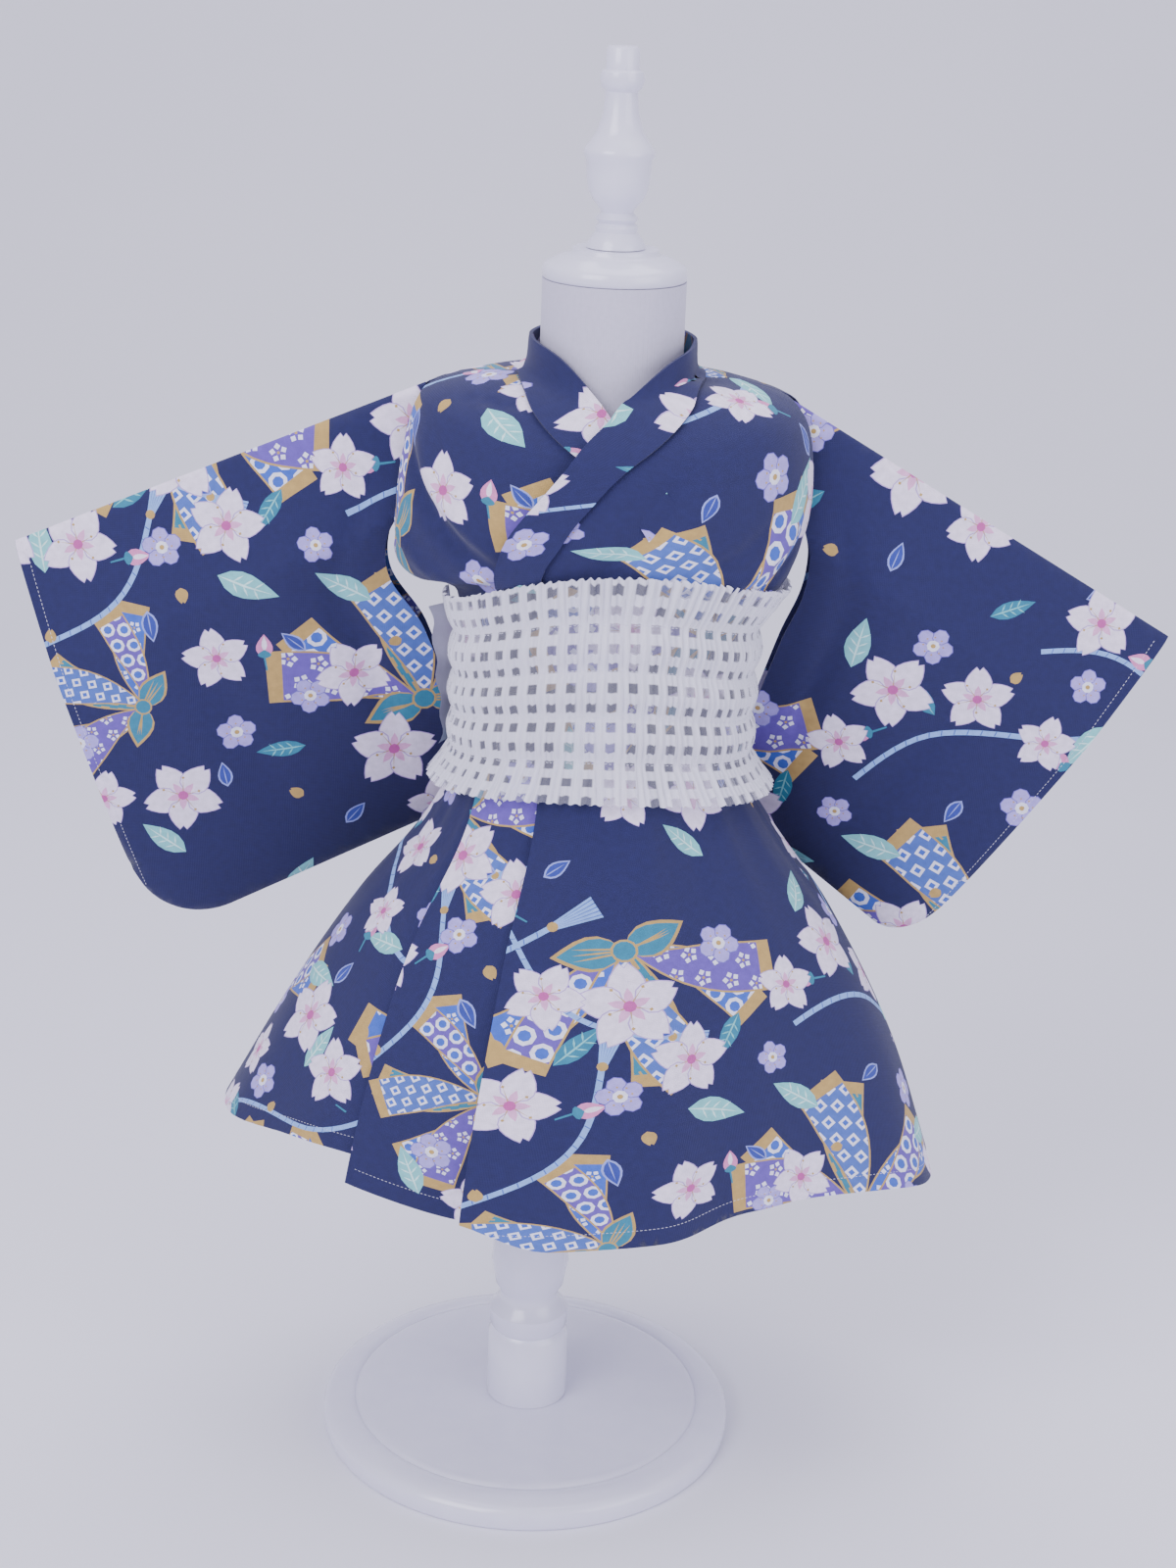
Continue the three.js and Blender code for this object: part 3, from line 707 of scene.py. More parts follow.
def cut_cloth(outline, shapes):
    """Triangles over a flat cut piece that follow its edge and every printed shape, and their inks."""
    edge = resampled(outline, EDGE_STEP)
    low, high = edge.min(0), edge.max(0)
    grid = []
    for k, y in enumerate(np.arange(low[1], high[1], GRID * 0.87)):
        x = np.arange(low[0] + (k % 2) * GRID / 2, high[0], GRID)
        grid.append(np.stack([x, np.full(len(x), y)], -1))
    grid = np.concatenate(grid)
    grid = grid[inside(grid, edge)]
    gap = np.min([np.hypot(*(grid - p).T) for p in edge], 0)
    points = [edge, grid[gap > GRID * 0.55]]
    count = len(edge)
    lines = [(k, (k + 1) % count) for k in range(count)]
    start = count + len(points[1])
    within = inside(np.concatenate([shape[0] for shape in shapes]), edge)
    ends = np.cumsum([len(shape[0]) for shape in shapes])
    for (line, _, _), touches in zip(shapes, np.split(within, ends[:-1])):
        if not touches.any():
            continue
        points.append(line)
        count = len(line)
        lines += [(start + k, start + (k + 1) % count) for k in range(count)]
        start += count
    flat = np.concatenate(points)
    verts, _, faces, _, _, _ = delaunay_2d_cdt([Vector(p) for p in flat], lines, [], 0, 1e-4, False)
    verts = np.array([tuple(v) for v in verts])
    faces = np.array([f for f in faces if len(f) == 3])
    middle = verts[faces].mean(1)
    keep = inside(middle, edge)
    faces, middle = faces[keep], middle[keep]
    ink = np.tile(linear(INK["ground"]), (len(faces), 1))
    for line, name, clip in shapes:
        low, high = line.min(0), line.max(0)
        near = np.nonzero(((middle >= low) & (middle <= high)).all(1))[0]
        if len(near):
            hit = inside(middle[near], line)
            if clip is not None:
                hit &= inside(middle[near], clip)
            ink[near[hit]] = linear(INK[name])
    used, faces = np.unique(faces, return_inverse=True)
    return verts[used], faces.reshape(-1, 3), ink


def wall(flat, faces, ink, to_params, place, outwards, rim=None, top=FACE_TOP, back=FACE_BACK):
    """Bends flat triangles into a thin closed wall; returns points, normals, faces, inks and flat places."""
    u, v = to_params(flat)
    outer, inner = place(u, v, top), place(u, v, back)
    n = normals(lambda a, b: place(a, b, top), u, v)
    if np.mean(np.sum(n * outwards(outer), 1)) < 0:
        n = -n
    sides = np.cross(outer[faces[:, 1]] - outer[faces[:, 0]], outer[faces[:, 2]] - outer[faces[:, 0]])
    if np.mean(np.sum(sides * n[faces[:, 0]], 1)) < 0:
        faces = faces[:, ::-1]
    size = len(flat)
    edges = np.concatenate([faces[:, [0, 1]], faces[:, [1, 2]], faces[:, [2, 0]]])
    codes, other = edges[:, 0] * size + edges[:, 1], edges[:, 1] * size + edges[:, 0]
    free = edges[~np.isin(codes, other)]
    if rim is not None:
        free = free[rim(u[free], v[free])]
    a, b = free[:, 0], free[:, 1]
    out = np.cross(outer[b] - outer[a], n[a])
    out /= np.maximum(np.linalg.norm(out, axis=1, keepdims=True), 1e-9)
    k = 2 * size + 4 * np.arange(len(free))
    quads = np.concatenate([np.stack([k + 1, k, k + 2], -1), np.stack([k + 1, k + 2, k + 3], -1)])
    corners = np.stack([outer[a], outer[b], inner[a], inner[b]], 1).reshape(-1, 3)
    reverse = ink * 0.45 + np.array(linear(INK["ground"])) * 0.55
    rim_ink = np.tile(linear(INK["ground"]), (len(quads), 1))
    return (
        np.concatenate([outer, inner, corners]),
        np.concatenate([n, -n, np.repeat(out, 4, 0)]),
        np.concatenate([faces, faces[:, ::-1] + size, quads]),
        np.concatenate([ink, reverse, rim_ink]),
        np.concatenate([flat, flat, np.stack([flat[a], flat[b], flat[a], flat[b]], 1).reshape(-1, 2)]),
    )


def mesh_piece(name, parts, material, nodes):
    """One object from wall parts, with its print as a colour attribute and its flat place as a UV map."""
    start, stack = 0, []
    for points, n, faces, ink, flat in parts:
        stack.append((points, n, faces + start, ink, flat))
        start += len(points)
    points, n, faces, ink, flat = (np.concatenate(column) for column in zip(*stack))
    points = points * MM + (BODY_X * MM, 0, 0)
    mesh = bpy.data.meshes.new(name)
    mesh.from_pydata(points.tolist(), [], faces.tolist())
    mesh.attributes.new("print", "FLOAT_COLOR", "CORNER").data.foreach_set("color", np.repeat(ink, 3, 0).ravel())
    mesh.uv_layers.new(name="cut").data.foreach_set("uv", (flat[faces.ravel()] * MM).ravel())
    mesh.shade_smooth()
    mesh.normals_split_custom_set_from_vertices(n.tolist())
    mesh.materials.append(material)
    return finished(name, mesh, nodes)


def finished(name, mesh, nodes=()):
    """Links a mesh as a piece of the object: its body and what it replaces."""
    piece = bpy.data.objects.new(name, mesh)
    bpy.context.scene.collection.objects.link(piece)
    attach(piece, "root")
    if nodes:
        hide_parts(*nodes)
    return piece


def grid_mesh(name, rows, closed, material, nodes, flat=None, shift=BODY_X):
    """A mesh from a grid of points in mm, [row][column]; closed joins its last column to its first."""
    count, around = rows.shape[:2]
    span = around if closed else around - 1
    i, j = np.meshgrid(np.arange(count - 1), np.arange(span), indexing="ij")
    a, b = i * around + j, i * around + (j + 1) % around
    faces = np.stack([a, a + around, b + around, b], -1).reshape(-1, 4)
    points = rows.reshape(-1, 3) * MM + (shift * MM, 0, 0)
    mesh = bpy.data.meshes.new(name)
    mesh.from_pydata(points.tolist(), [], faces.tolist())
    if flat is not None:
        mesh.uv_layers.new(name="cut").data.foreach_set("uv", (flat.reshape(-1, 2)[faces.ravel()] * MM).ravel())
    mesh.shade_smooth()
    mesh.materials.append(material)
    return finished(name, mesh, nodes)


# ---------------------------------------------------------------- materials
def add(tree, kind, sockets=None, **settings):
    """Adds a node with its settings; sockets are values, or outputs to link, by input name or number."""
    node = tree.nodes.new(kind)
    for name, value in settings.items():
        setattr(node, name, value)
    for key, value in (sockets or {}).items():
        if isinstance(value, bpy.types.NodeSocket):
            tree.links.new(value, node.inputs[key])
        else:
            node.inputs[key].default_value = value
    return node


def blank(name):
    material = bpy.data.materials.new(name)
    material.use_nodes = True
    tree = material.node_tree
    tree.nodes.clear()
    return material, tree


def close(tree, shader):
    add(tree, "ShaderNodeOutputMaterial", {"Surface": shader.outputs[0]})


def weave(tree, vector, thread, strength):
    """The bump of a plain weave whose threads lie thread mm apart, over a vector in metres."""
    scale = 2 * math.pi / 20 / (thread * MM)
    warp = add(tree, "ShaderNodeTexWave", {"Vector": vector, "Scale": scale}, bands_direction="X")
    weft = add(tree, "ShaderNodeTexWave", {"Vector": vector, "Scale": scale}, bands_direction="Y")
    height = add(tree, "ShaderNodeMath", {0: warp.outputs["Fac"], 1: weft.outputs["Fac"]}, operation="ADD")
    sockets = {"Height": height.outputs[0], "Strength": strength, "Distance": 0.15 * MM}
    return add(tree, "ShaderNodeBump", sockets)


def printed_cotton():
    """Plain-woven cotton, printed in flat inks: matt, and the navy is a little uneven in the threads."""
    material, tree = blank("printed plain-woven cotton")
    ink = add(tree, "ShaderNodeAttribute", attribute_name="print")
    cut = add(tree, "ShaderNodeUVMap", uv_map="cut")
    cloud = add(tree, "ShaderNodeTexNoise", {"Vector": cut.outputs[0], "Scale": 260.0, "Detail": 5.0})
    tone = add(tree, "ShaderNodeMapRange", {"Value": cloud.outputs[0], "To Min": 0.78, "To Max": 1.25})
    shade = add(tree, "ShaderNodeMix", {0: 1.0, 6: ink.outputs[0], 7: tone.outputs[0]}, data_type="RGBA",
                blend_type="MULTIPLY")
    bump = weave(tree, cut.outputs[0], 0.9, 0.35)  # real threads lie 0.3 mm apart, too fine to show
    sockets = {"Base Color": shade.outputs[2], "Roughness": 0.86, "Sheen Weight": 0.12,
               "Sheen Roughness": 0.5, "Normal": bump.outputs[0]}
    close(tree, add(tree, "ShaderNodeBsdfPrincipled", sockets))
    return material


def voile():
    """Sheer white cotton voile with a windowpane check: its windows let the print show through."""
    material, tree = blank("sheer windowpane voile")
    cut = add(tree, "ShaderNodeUVMap", uv_map="cut")
    axes = add(tree, "ShaderNodeSeparateXYZ", {0: cut.outputs[0]})
    solid = []
    for axis, pitch in ((0, 15.0), (1, 10.0)):
        turn = add(tree, "ShaderNodeMath", {0: axes.outputs[axis], 1: pitch / 2 * MM}, operation="PINGPONG")
        sockets = {"Value": turn.outputs[0], "From Min": 0.23 * pitch * MM, "From Max": 0.3 * pitch * MM}
        solid.append(add(tree, "ShaderNodeMapRange", sockets).outputs[0])
    window = add(tree, "ShaderNodeMath", {0: solid[0], 1: solid[1]}, operation="MULTIPLY")
    clear = add(tree, "ShaderNodeMapRange", {"Value": window.outputs[0], "To Min": 0.9, "To Max": 0.2})
    bump = weave(tree, cut.outputs[0], 0.8, 0.3)
    sockets = {"Base Color": linear("#E9E8F6"), "Roughness": 0.55, "Sheen Weight": 0.4,
               "Alpha": clear.outputs[0], "Normal": bump.outputs[0]}
    close(tree, add(tree, "ShaderNodeBsdfPrincipled", sockets))
    return material


def plain_cloth(name, code, thread, roughness=0.88):
    """Undyed cloth with a visible weave or knit."""
    material, tree = blank(name)
    place = add(tree, "ShaderNodeTexCoord")
    cloud = add(tree, "ShaderNodeTexNoise", {"Vector": place.outputs["Object"], "Scale": 400.0, "Detail": 4.0})
    dark = tuple(c * 0.86 for c in linear(code)[:3]) + (1.0,)
    tone = add(tree, "ShaderNodeMix", {0: cloud.outputs[0], 6: dark, 7: linear(code)}, data_type="RGBA")
    bump = weave(tree, place.outputs["Object"], thread, 0.3)
    sockets = {"Base Color": tone.outputs[2], "Roughness": roughness, "Sheen Weight": 0.2,
               "Normal": bump.outputs[0]}
    close(tree, add(tree, "ShaderNodeBsdfPrincipled", sockets))
    return material


def enamel():
    """Brushed white enamel on turned wood: glossy, with faint runs in the lacquer."""
    material, tree = blank("white enamel")
    place = add(tree, "ShaderNodeTexCoord")
    runs = add(tree, "ShaderNodeTexNoise", {"Vector": place.outputs["Object"], "Scale": 60.0, "Detail": 2.0})
    bump = add(tree, "ShaderNodeBump", {"Height": runs.outputs[0], "Strength": 0.12, "Distance": 0.3 * MM})
    tone = add(tree, "ShaderNodeMix", {0: runs.outputs[0], 6: linear("#DCDAF0"), 7: linear("#E6E5F6")},
               data_type="RGBA")
    sockets = {"Base Color": tone.outputs[2], "Roughness": 0.22, "Coat Weight": 0.5, "Coat Roughness": 0.12,
               "Normal": bump.outputs[0]}
    close(tree, add(tree, "ShaderNodeBsdfPrincipled", sockets))
    return material


def thread():
    """Twisted polyester sewing thread: near white with a slight sheen."""
    material, tree = blank("white sewing thread")
    place = add(tree, "ShaderNodeTexCoord")
    ply = add(tree, "ShaderNodeTexNoise", {"Vector": place.outputs["Object"], "Scale": 900.0})
    tone = add(tree, "ShaderNodeMix", {0: ply.outputs[0], 6: linear("#C9C8E2"), 7: linear("#F1F0FA")},
               data_type="RGBA")
    close(tree, add(tree, "ShaderNodeBsdfPrincipled", {"Base Color": tone.outputs[2], "Roughness": 0.5}))
    return material


def material_for(name, make):
    return bpy.data.materials.get(name) or make()


def cotton():
    return material_for("printed plain-woven cotton", printed_cotton)


# ---------------------------------------------------------------- flat cutting layouts
def path_length(points):
    return np.concatenate([[0], np.cumsum(np.linalg.norm(np.diff(points, axis=0), axis=1))])


RINGS = np.linspace(0, 1, 101)
BODICE_DOWN = path_length(ring(BODICE, np.full(101, 45.0), RINGS))
SKIRT_DOWN = path_length(ring(SKIRT, np.full(101, 90.0), RINGS))


def mean_radius(rows, t):
    width = (sample(rows, "t", "left", t) + sample(rows, "t", "right", t)) / 2
    return np.sqrt((width**2 + sample(rows, "t", "depth", t) ** 2) / 2)


SKIRT_TOP = float(mean_radius(SKIRT, 0.0))
SKIRT_OPEN = (float(mean_radius(SKIRT, 1.0)) - SKIRT_TOP) / SKIRT_DOWN[-1]  # how fast the cone opens
CONE = SKIRT_TOP / SKIRT_OPEN


def body_cut(middle):
    """Between direction and ring, and a bodice panel's flat cut in mm."""

    def to_flat(at, t):
        return np.stack([mean_radius(BODICE, t) * np.radians(at - middle), -np.interp(t, RINGS, BODICE_DOWN)], -1)

    def to_params(flat):
        t = np.interp(-flat[:, 1], BODICE_DOWN, RINGS)
        return middle + np.degrees(flat[:, 0] / mean_radius(BODICE, t)), t

    return to_flat, to_params


def skirt_cut(middle):
    """Between direction and ring, and a skirt panel's flat cut, which is part of a flattened cone."""

    def to_flat(at, t):
        reach, turn = CONE + np.interp(t, RINGS, SKIRT_DOWN), np.radians(at - middle) * SKIRT_OPEN
        return np.stack([reach * np.sin(turn), -reach * np.cos(turn)], -1)

    def to_params(flat):
        t = np.interp(np.hypot(flat[:, 0], flat[:, 1]) - CONE, SKIRT_DOWN, RINGS)
        return middle + np.degrees(np.arctan2(flat[:, 0], -flat[:, 1]) / SKIRT_OPEN), t

    return to_flat, to_params


def panel_outline(to_flat, first, last, top=0.0, low=lambda at: 1.0):
    """A panel's flat outline: first and last give its side edges' directions at a ring."""
    s = np.linspace(0, 1, 60)
    end = low(np.array([first(1.0), last(1.0)]))
    end = np.broadcast_to(end, 2)
    t_first, t_last = lerp(top, end[0], s), lerp(top, end[1], s)
    hem_at = lerp(first(end[0]), last(end[1]), s)
    hem_t = np.broadcast_to(low(hem_at), hem_at.shape)
    waist_at = lerp(last(top), first(top), s)
    params = [
        (np.broadcast_to(first(t_first), 60), t_first),
        (hem_at, hem_t),
        (np.broadcast_to(last(t_last), 60)[::-1], t_last[::-1]),
        (waist_at, np.full(60, top)),
    ]
    return np.concatenate([to_flat(np.asarray(a, float)[:-1], np.asarray(t, float)[:-1]) for a, t in params])


def area_of(outline):
    x, y = outline.T
    return abs(np.sum(x * np.roll(y, -1) - y * np.roll(x, -1))) / 2


def from_axis(points):
    return points * (1, 1, 0)


def declare(outline, walls=1):
    """Works out a cloth's cut, the rectangle that it comes out of and its own flat area in metres, and keeps
    neither.
    """
    width, length = (np.ptp(outline, axis=0)) * MM
    area = area_of(outline) * MM * MM * walls


def panel(name, node, cut, outline, place, shift, turn, rests_on, shown=(-1e9, 1e9), **faces):
    """Cuts, prints and drapes one panel; it is left plain outside shown, where the next layer covers it."""
    shapes = []
    for shape in print_over(outline, np.array(shift, float), turn):
        at = cut[1](shape[0])[0]
        if (at > shown[0]).any() and (at < shown[1]).any():
            shapes.append(shape)
    flat, triangles, ink = cut_cloth(outline, shapes)
    part = wall(flat, triangles, ink, cut[1], place, from_axis, **faces)
    piece = mesh_piece(name, [part], cotton(), [node])
    declare(outline)
    return piece


# ---------------------------------------------------------------- dress form and stand
BASE_PROFILE = ((0, 0), (112, 0), (113.6, 0.7), (114, 2), (114, 8.6), (113.2, 10.4), (110, 12.8), (104, 14.6),
                (100.5, 15.2), (97.6, 15), (96.4, 14), (95.4, 15), (93.4, 15.8), (90, 16), (0, 16))
POST_PROFILE = ((0, 16.3), (22.3, 16.3), (22.5, 18), (22, 55), (19.6, 58), (21.6, 61), (21.9, 70), (17.2, 75),
                (16, 78), (16.6, 82), (19, 86), (21.4, 100), (20.6, 112), (20, 125), (18.2, 150), (18, 165),
                (19, 190), (20, 213.7), (0, 213.7))
CAP_PROFILE = ((0, 642.3), (34.8, 642.3), (35.6, 643.2), (35.8, 645.4), (35.2, 648), (34, 649.6), (30, 651.3),
               (28.6, 652.4), (22, 654.4), (21.3, 655.4), (21, 657), (0, 657))
FINIAL_PROFILE = ((0, 657.3), (14.5, 657.3), (13.6, 660.6), (10.2, 665), (10.6, 667.3), (8.8, 669.3),
                  (10.6, 671.3), (7.8, 674.3), (9.4, 677), (12.2, 680), (14.6, 685), (15.6, 691), (16, 699.3),
                  (17.3, 701.3), (17.4, 703), (16.8, 704.6), (14, 708), (11.2, 712.5), (8.7, 721), (7.8, 731),
                  (9.8, 733), (10.9, 736.6), (10, 740.2), (8.2, 741.4), (8, 750.6), (7, 752), (0, 752))
TURNED_SEGMENTS = 96
SHARP = math.radians(38)


def turned_piece(name, node, profile, x):
    """A piece turned on a lathe, from its radius and height at each step of its profile."""
    a = np.arange(TURNED_SEGMENTS) * 2 * math.pi / TURNED_SEGMENTS
    profile = np.array(profile, float)
    profile[:, 0] = np.maximum(profile[:, 0], 0.01)
    ends = np.stack([np.outer(profile[:, 0], np.sin(a)) + x, -np.outer(profile[:, 0], np.cos(a)),
                     np.repeat(profile[:, 1:], len(a), 1)], -1)
    piece = grid_mesh(name, ends, True, material_for("white enamel", enamel), [node], shift=0)
    piece.data.set_sharp_from_angle(angle=SHARP)
    return piece


class YUKATA_OT_stand(bpy.types.Operator):
    """Turns the base, the post, the neck cap and the finial"""

    bl_idname = "yukata.stand"
    bl_label = "Turned Stand"

    def execute(self, context):
        turned_piece("stand_base_turned", "stand_base", BASE_PROFILE, 0)
        turned_piece("stand_post_turned", "stand_post", POST_PROFILE, 0)
        turned_piece("form_cap_turned", "form_cap", CAP_PROFILE, BODY_X + NECK_X)
        turned_piece("form_finial_turned", "form_finial", FINIAL_PROFILE, BODY_X + NECK_X)
        return {"FINISHED"}


class YUKATA_OT_torso(bpy.types.Operator):
    """Pads the limbless torso and neck under their knitted cover"""

    bl_idname = "yukata.torso"
    bl_label = "Padded Torso"

    def execute(self, context):
        at = np.linspace(0, 360, 96, endpoint=False)
        rows = [ring(TORSO, at, np.full(96, 0.0)) * (0.01, 0.01, 1)]
        rows += [ring(TORSO, at, np.full(96, t)) for t in np.linspace(0, 1, 70)]
        a = np.radians(at)
        for z in (604, 622, 641, 642):
            rows.append(np.stack([NECK_X + 35.5 * np.sin(a), -35.5 * np.cos(a), np.full(96, z)], -1))
        rows.append(np.stack([NECK_X + 0.3 * np.sin(a), -0.3 * np.cos(a), np.full(96, 642)], -1))
        cover = material_for("knitted cotton cover", lambda: plain_cloth("knitted cotton cover", "#CFCBE0", 1.1))
        piece = grid_mesh("form_torso_cover", np.array(rows), True, cover, ["form_torso"])
        piece.data.set_sharp_from_angle(angle=SHARP)
        return {"FINISHED"}


# ---------------------------------------------------------------- the garment
def fold_depth(folds, at, t):
    return creases(folds, at, t, 1.4, 190)


class YUKATA_OT_bodice(bpy.types.Operator):
    """Cuts, prints and drapes the back and the two crossed fronts"""

    bl_idname = "yukata.bodice"
    bl_label = "Bodice"

    def execute(self, context):
        for side, name, folds, shift in (
            (-1, "right", FOLDS_RIGHT_FRONT, (40, 120)),
            (1, "left", FOLDS_LEFT_FRONT, (190, 60)),
        ):
            def place(at, t, out, side=side, folds=folds):
                over = overlap_lift(at) if side > 0 else 0
                return lifted(bodice, at, t, over + fold_depth(folds, at, t) * smooth(0.02, 0.3, t) + out)

            def overlap(t, side=side):
                return side * sample(OVERLAP_EDGE, "t", "at", t)

            def at_side(t, side=side):
                return side * (90 - side_gap(t))

            cut = body_cut(side * 45)
            outline = panel_outline(cut[0], overlap, at_side)
            panel(f"bodice_front_{name}_cloth", f"bodice_front_{name}", cut, outline, place, shift, 12 * side,
                  ["form_torso"])

        def back(at, t, out):
            return lifted(bodice, at, t, fold_depth(FOLDS_BACK, at, t) + out)

        cut = body_cut(180)
        outline = panel_outline(cut[0], lambda t: 90 + side_gap(t), lambda t: 270 - side_gap(t))
        panel("bodice_back_cloth", "bodice_back", cut, outline, back, (20, 210), -8, ["form_torso"])
        return {"FINISHED"}


COLLAR_WIDTH = 22.0


class YUKATA_OT_collar(bpy.types.Operator):
    """Folds the collar band and lays its two halves round the neck and over the fronts"""

    bl_idname = "yukata.collar"
    bl_label = "Collar Band"

    def execute(self, context):
        for side, name, shift in ((-1, "right", (70, 20)), (1, "left", (210, 150))):
            place = collar_place(side)
            s = np.linspace(0.003, 1, 200)
            length = path_length(place(s, np.full(200, 0.5), 0))[-1]

            def to_params(flat, length=length):
                return 0.003 + 0.997 * flat[:, 0] / length, -flat[:, 1] / COLLAR_WIDTH

            outline = np.array([(0, -COLLAR_WIDTH), (length, -COLLAR_WIDTH), (length, 0), (0, 0)], float)
            panel(f"collar_{name}_band", f"collar_{name}", (None, to_params), outline, place, shift, 74 * side,
                  [f"bodice_front_{name}"], top=1.2, back=-0.5)
        return {"FINISHED"}


def sleeve_params(shape, flat):
    """Finds s and share where a sleeve's flat envelope passes through points, by Newton's method."""
    x, z = flat[:, 0] * shape["side"], flat[:, 1]
    s = np.clip((x - 95) / 185, 0, 1)
    r = np.clip((shape["cuff_top"][1] + 40 - z) / 230, 0, 1)
    e = 1e-4
    for _ in range(30):
        x0, z0 = sleeve_plane(shape, s, r)
        xs, zs = sleeve_plane(shape, s + e, r)
        xr, zr = sleeve_plane(shape, s, r + e)
        a, b, c, d = (xs - x0) / e, (xr - x0) / e, (zs - z0) / e, (zr - z0) / e
        det = a * d - b * c
        det = np.where(np.abs(det) < 1, 1, det)
        dx, dz = x - x0, z - z0
        s = np.clip(s + np.clip((d * dx - b * dz) / det, -0.2, 0.2), 0, 1)
        r = np.clip(r + np.clip((a * dz - c * dx) / det, -0.2, 0.2), 0, 1 - 2 * e)
    return s, np.clip(r / sleeve_depth(shape, s), 0, 1)


class YUKATA_OT_sleeves(bpy.types.Operator):
    """Cuts, prints and folds the two square sleeves"""

    bl_idname = "yukata.sleeves"
    bl_label = "Sleeves"

    def execute(self, context):
        for name, shape, shift in (("right", SLEEVE_RIGHT, (130, 40)), ("left", SLEEVE_LEFT, (250, 200))):
            run = np.linspace(0, 1, 60)
            loop = [(run, 0 * run), (0 * run + 1, run), (run[::-1], 0 * run + 1), (0 * run, run[::-1])]
            outline = []
            for s, share in loop:
                x, z = sleeve_plane(shape, s[:-1], share[:-1] * sleeve_depth(shape, s[:-1]))
                outline.append(np.stack([shape["side"] * x, z], -1))
            outline = np.concatenate(outline)
            if shape["side"] < 0:
                outline = outline[::-1]
            parts = []
            for face in (-1, 1):
                def place(s, share, out, shape=shape, face=face):
                    fold = creases(FOLDS_SLEEVE, s, share, 200, 210) * np.sin(np.clip(share, 0, 1) * math.pi)
                    return sleeve_point(shape, s, share, face, out - FACE_TOP + fold)

                move = np.array(shift, float) + (face * 70, face * 45)
                flat, triangles, ink = cut_cloth(outline, print_over(outline, move, 10 * shape["side"]))
                parts.append(wall(flat, triangles, ink, lambda p, shape=shape: sleeve_params(shape, p), place,
                                  lambda p, face=face: np.broadcast_to((0, face, 0), p.shape),
                                  rim=lambda s, share: ((s < 0.01) | (s > 0.99)).all(1)))
            piece = mesh_piece(f"sleeve_{name}_cloth", parts, cotton(), [f"sleeve_{name}"])
            declare(outline, walls=2)
        return {"FINISHED"}


def left_front_lift(at, t):
    return LAYER * (2 - smooth(12, 30, at)) + CORNER_OUT * (1 - smooth(-24, 6, at)) * smooth(0.5, 1, t)


def back_hem(at):
    away = np.where(np.asarray(at) > 180, 360 - np.asarray(at), 90)
    return lerp(0.9, 0.985, smooth(30, 84, away))


class YUKATA_OT_skirt(bpy.types.Operator):
    """Cuts, prints and gathers the back and the two overlapping fronts of the skirt"""

    bl_idname = "yukata.skirt"
    bl_label = "Skirt"

    def execute(self, context):
        def layer(lift):
            return lambda at, t, out: lifted(skirt, at, t, lift(at, t) + gathers(at, t) + out)

        cut = skirt_cut(197)
        outline = panel_outline(cut[0], lambda t: 65 + 0 * t, lambda t: 330 + 0 * t, low=back_hem)
        panel("skirt_back_cloth", "skirt_back", cut, outline, layer(lambda at, t: 0 * at), (60, 90), 0,
              ["form_torso"], shown=(80, 314), top=0.9)
        cut = skirt_cut(-22)
        outline = panel_outline(cut[0], lambda t: lerp(-54, -38.5, t), lambda t: 10 + 0 * t,
                                low=lambda at: 0.965 + 0 * at)
        panel("skirt_front_right_cloth", "skirt_front_right", cut, outline, layer(lambda at, t: LAYER + 0 * at),
              (230, 130), 20, ["skirt_back"], shown=(-60, -13), top=0.9)
        cut = skirt_cut(32)
        outline = panel_outline(cut[0], lambda t: lerp(-24, -16, t), lambda t: 85 + 0 * t,
                                low=lambda at: 1 - 0.05 * (1 - smooth(-18, -4, at)))
        panel("skirt_front_left_cloth", "skirt_front_left", cut, outline, layer(left_front_lift), (110, 30), -14,
              ["skirt_front_right"])
        return {"FINISHED"}


PLEAT_TURN = 2.7  # degrees from one gather of the obi to the next
ELASTIC_ROWS = (0.2, 0.4, 0.6, 0.8)
GATHER_RATIO = 1.5
OBI_HALF = 97.0


def obi_pleats(at, t):
    """How far the shirred voile stands out: least at the elastic rows, most in its two ruffles."""
    phase = 2 * math.pi * at / PLEAT_TURN + 1.5 * np.sin(at / 6.1 + 4 * t) + 0.9 * np.sin(at / 2.7 - 7 * t)
    held = np.exp(-((np.min([np.abs(t - row) for row in ELASTIC_ROWS], 0) / 0.03) ** 2))
    free = smooth(0.18, 0.0, t) + smooth(0.82, 1.0, t)
    reach = 0.8 - 0.4 * held + 0.3 * free
    return reach * (np.sin(phase) + 0.3 * np.sin(2.3 * phase + 5 * t)) - 0.35 * held


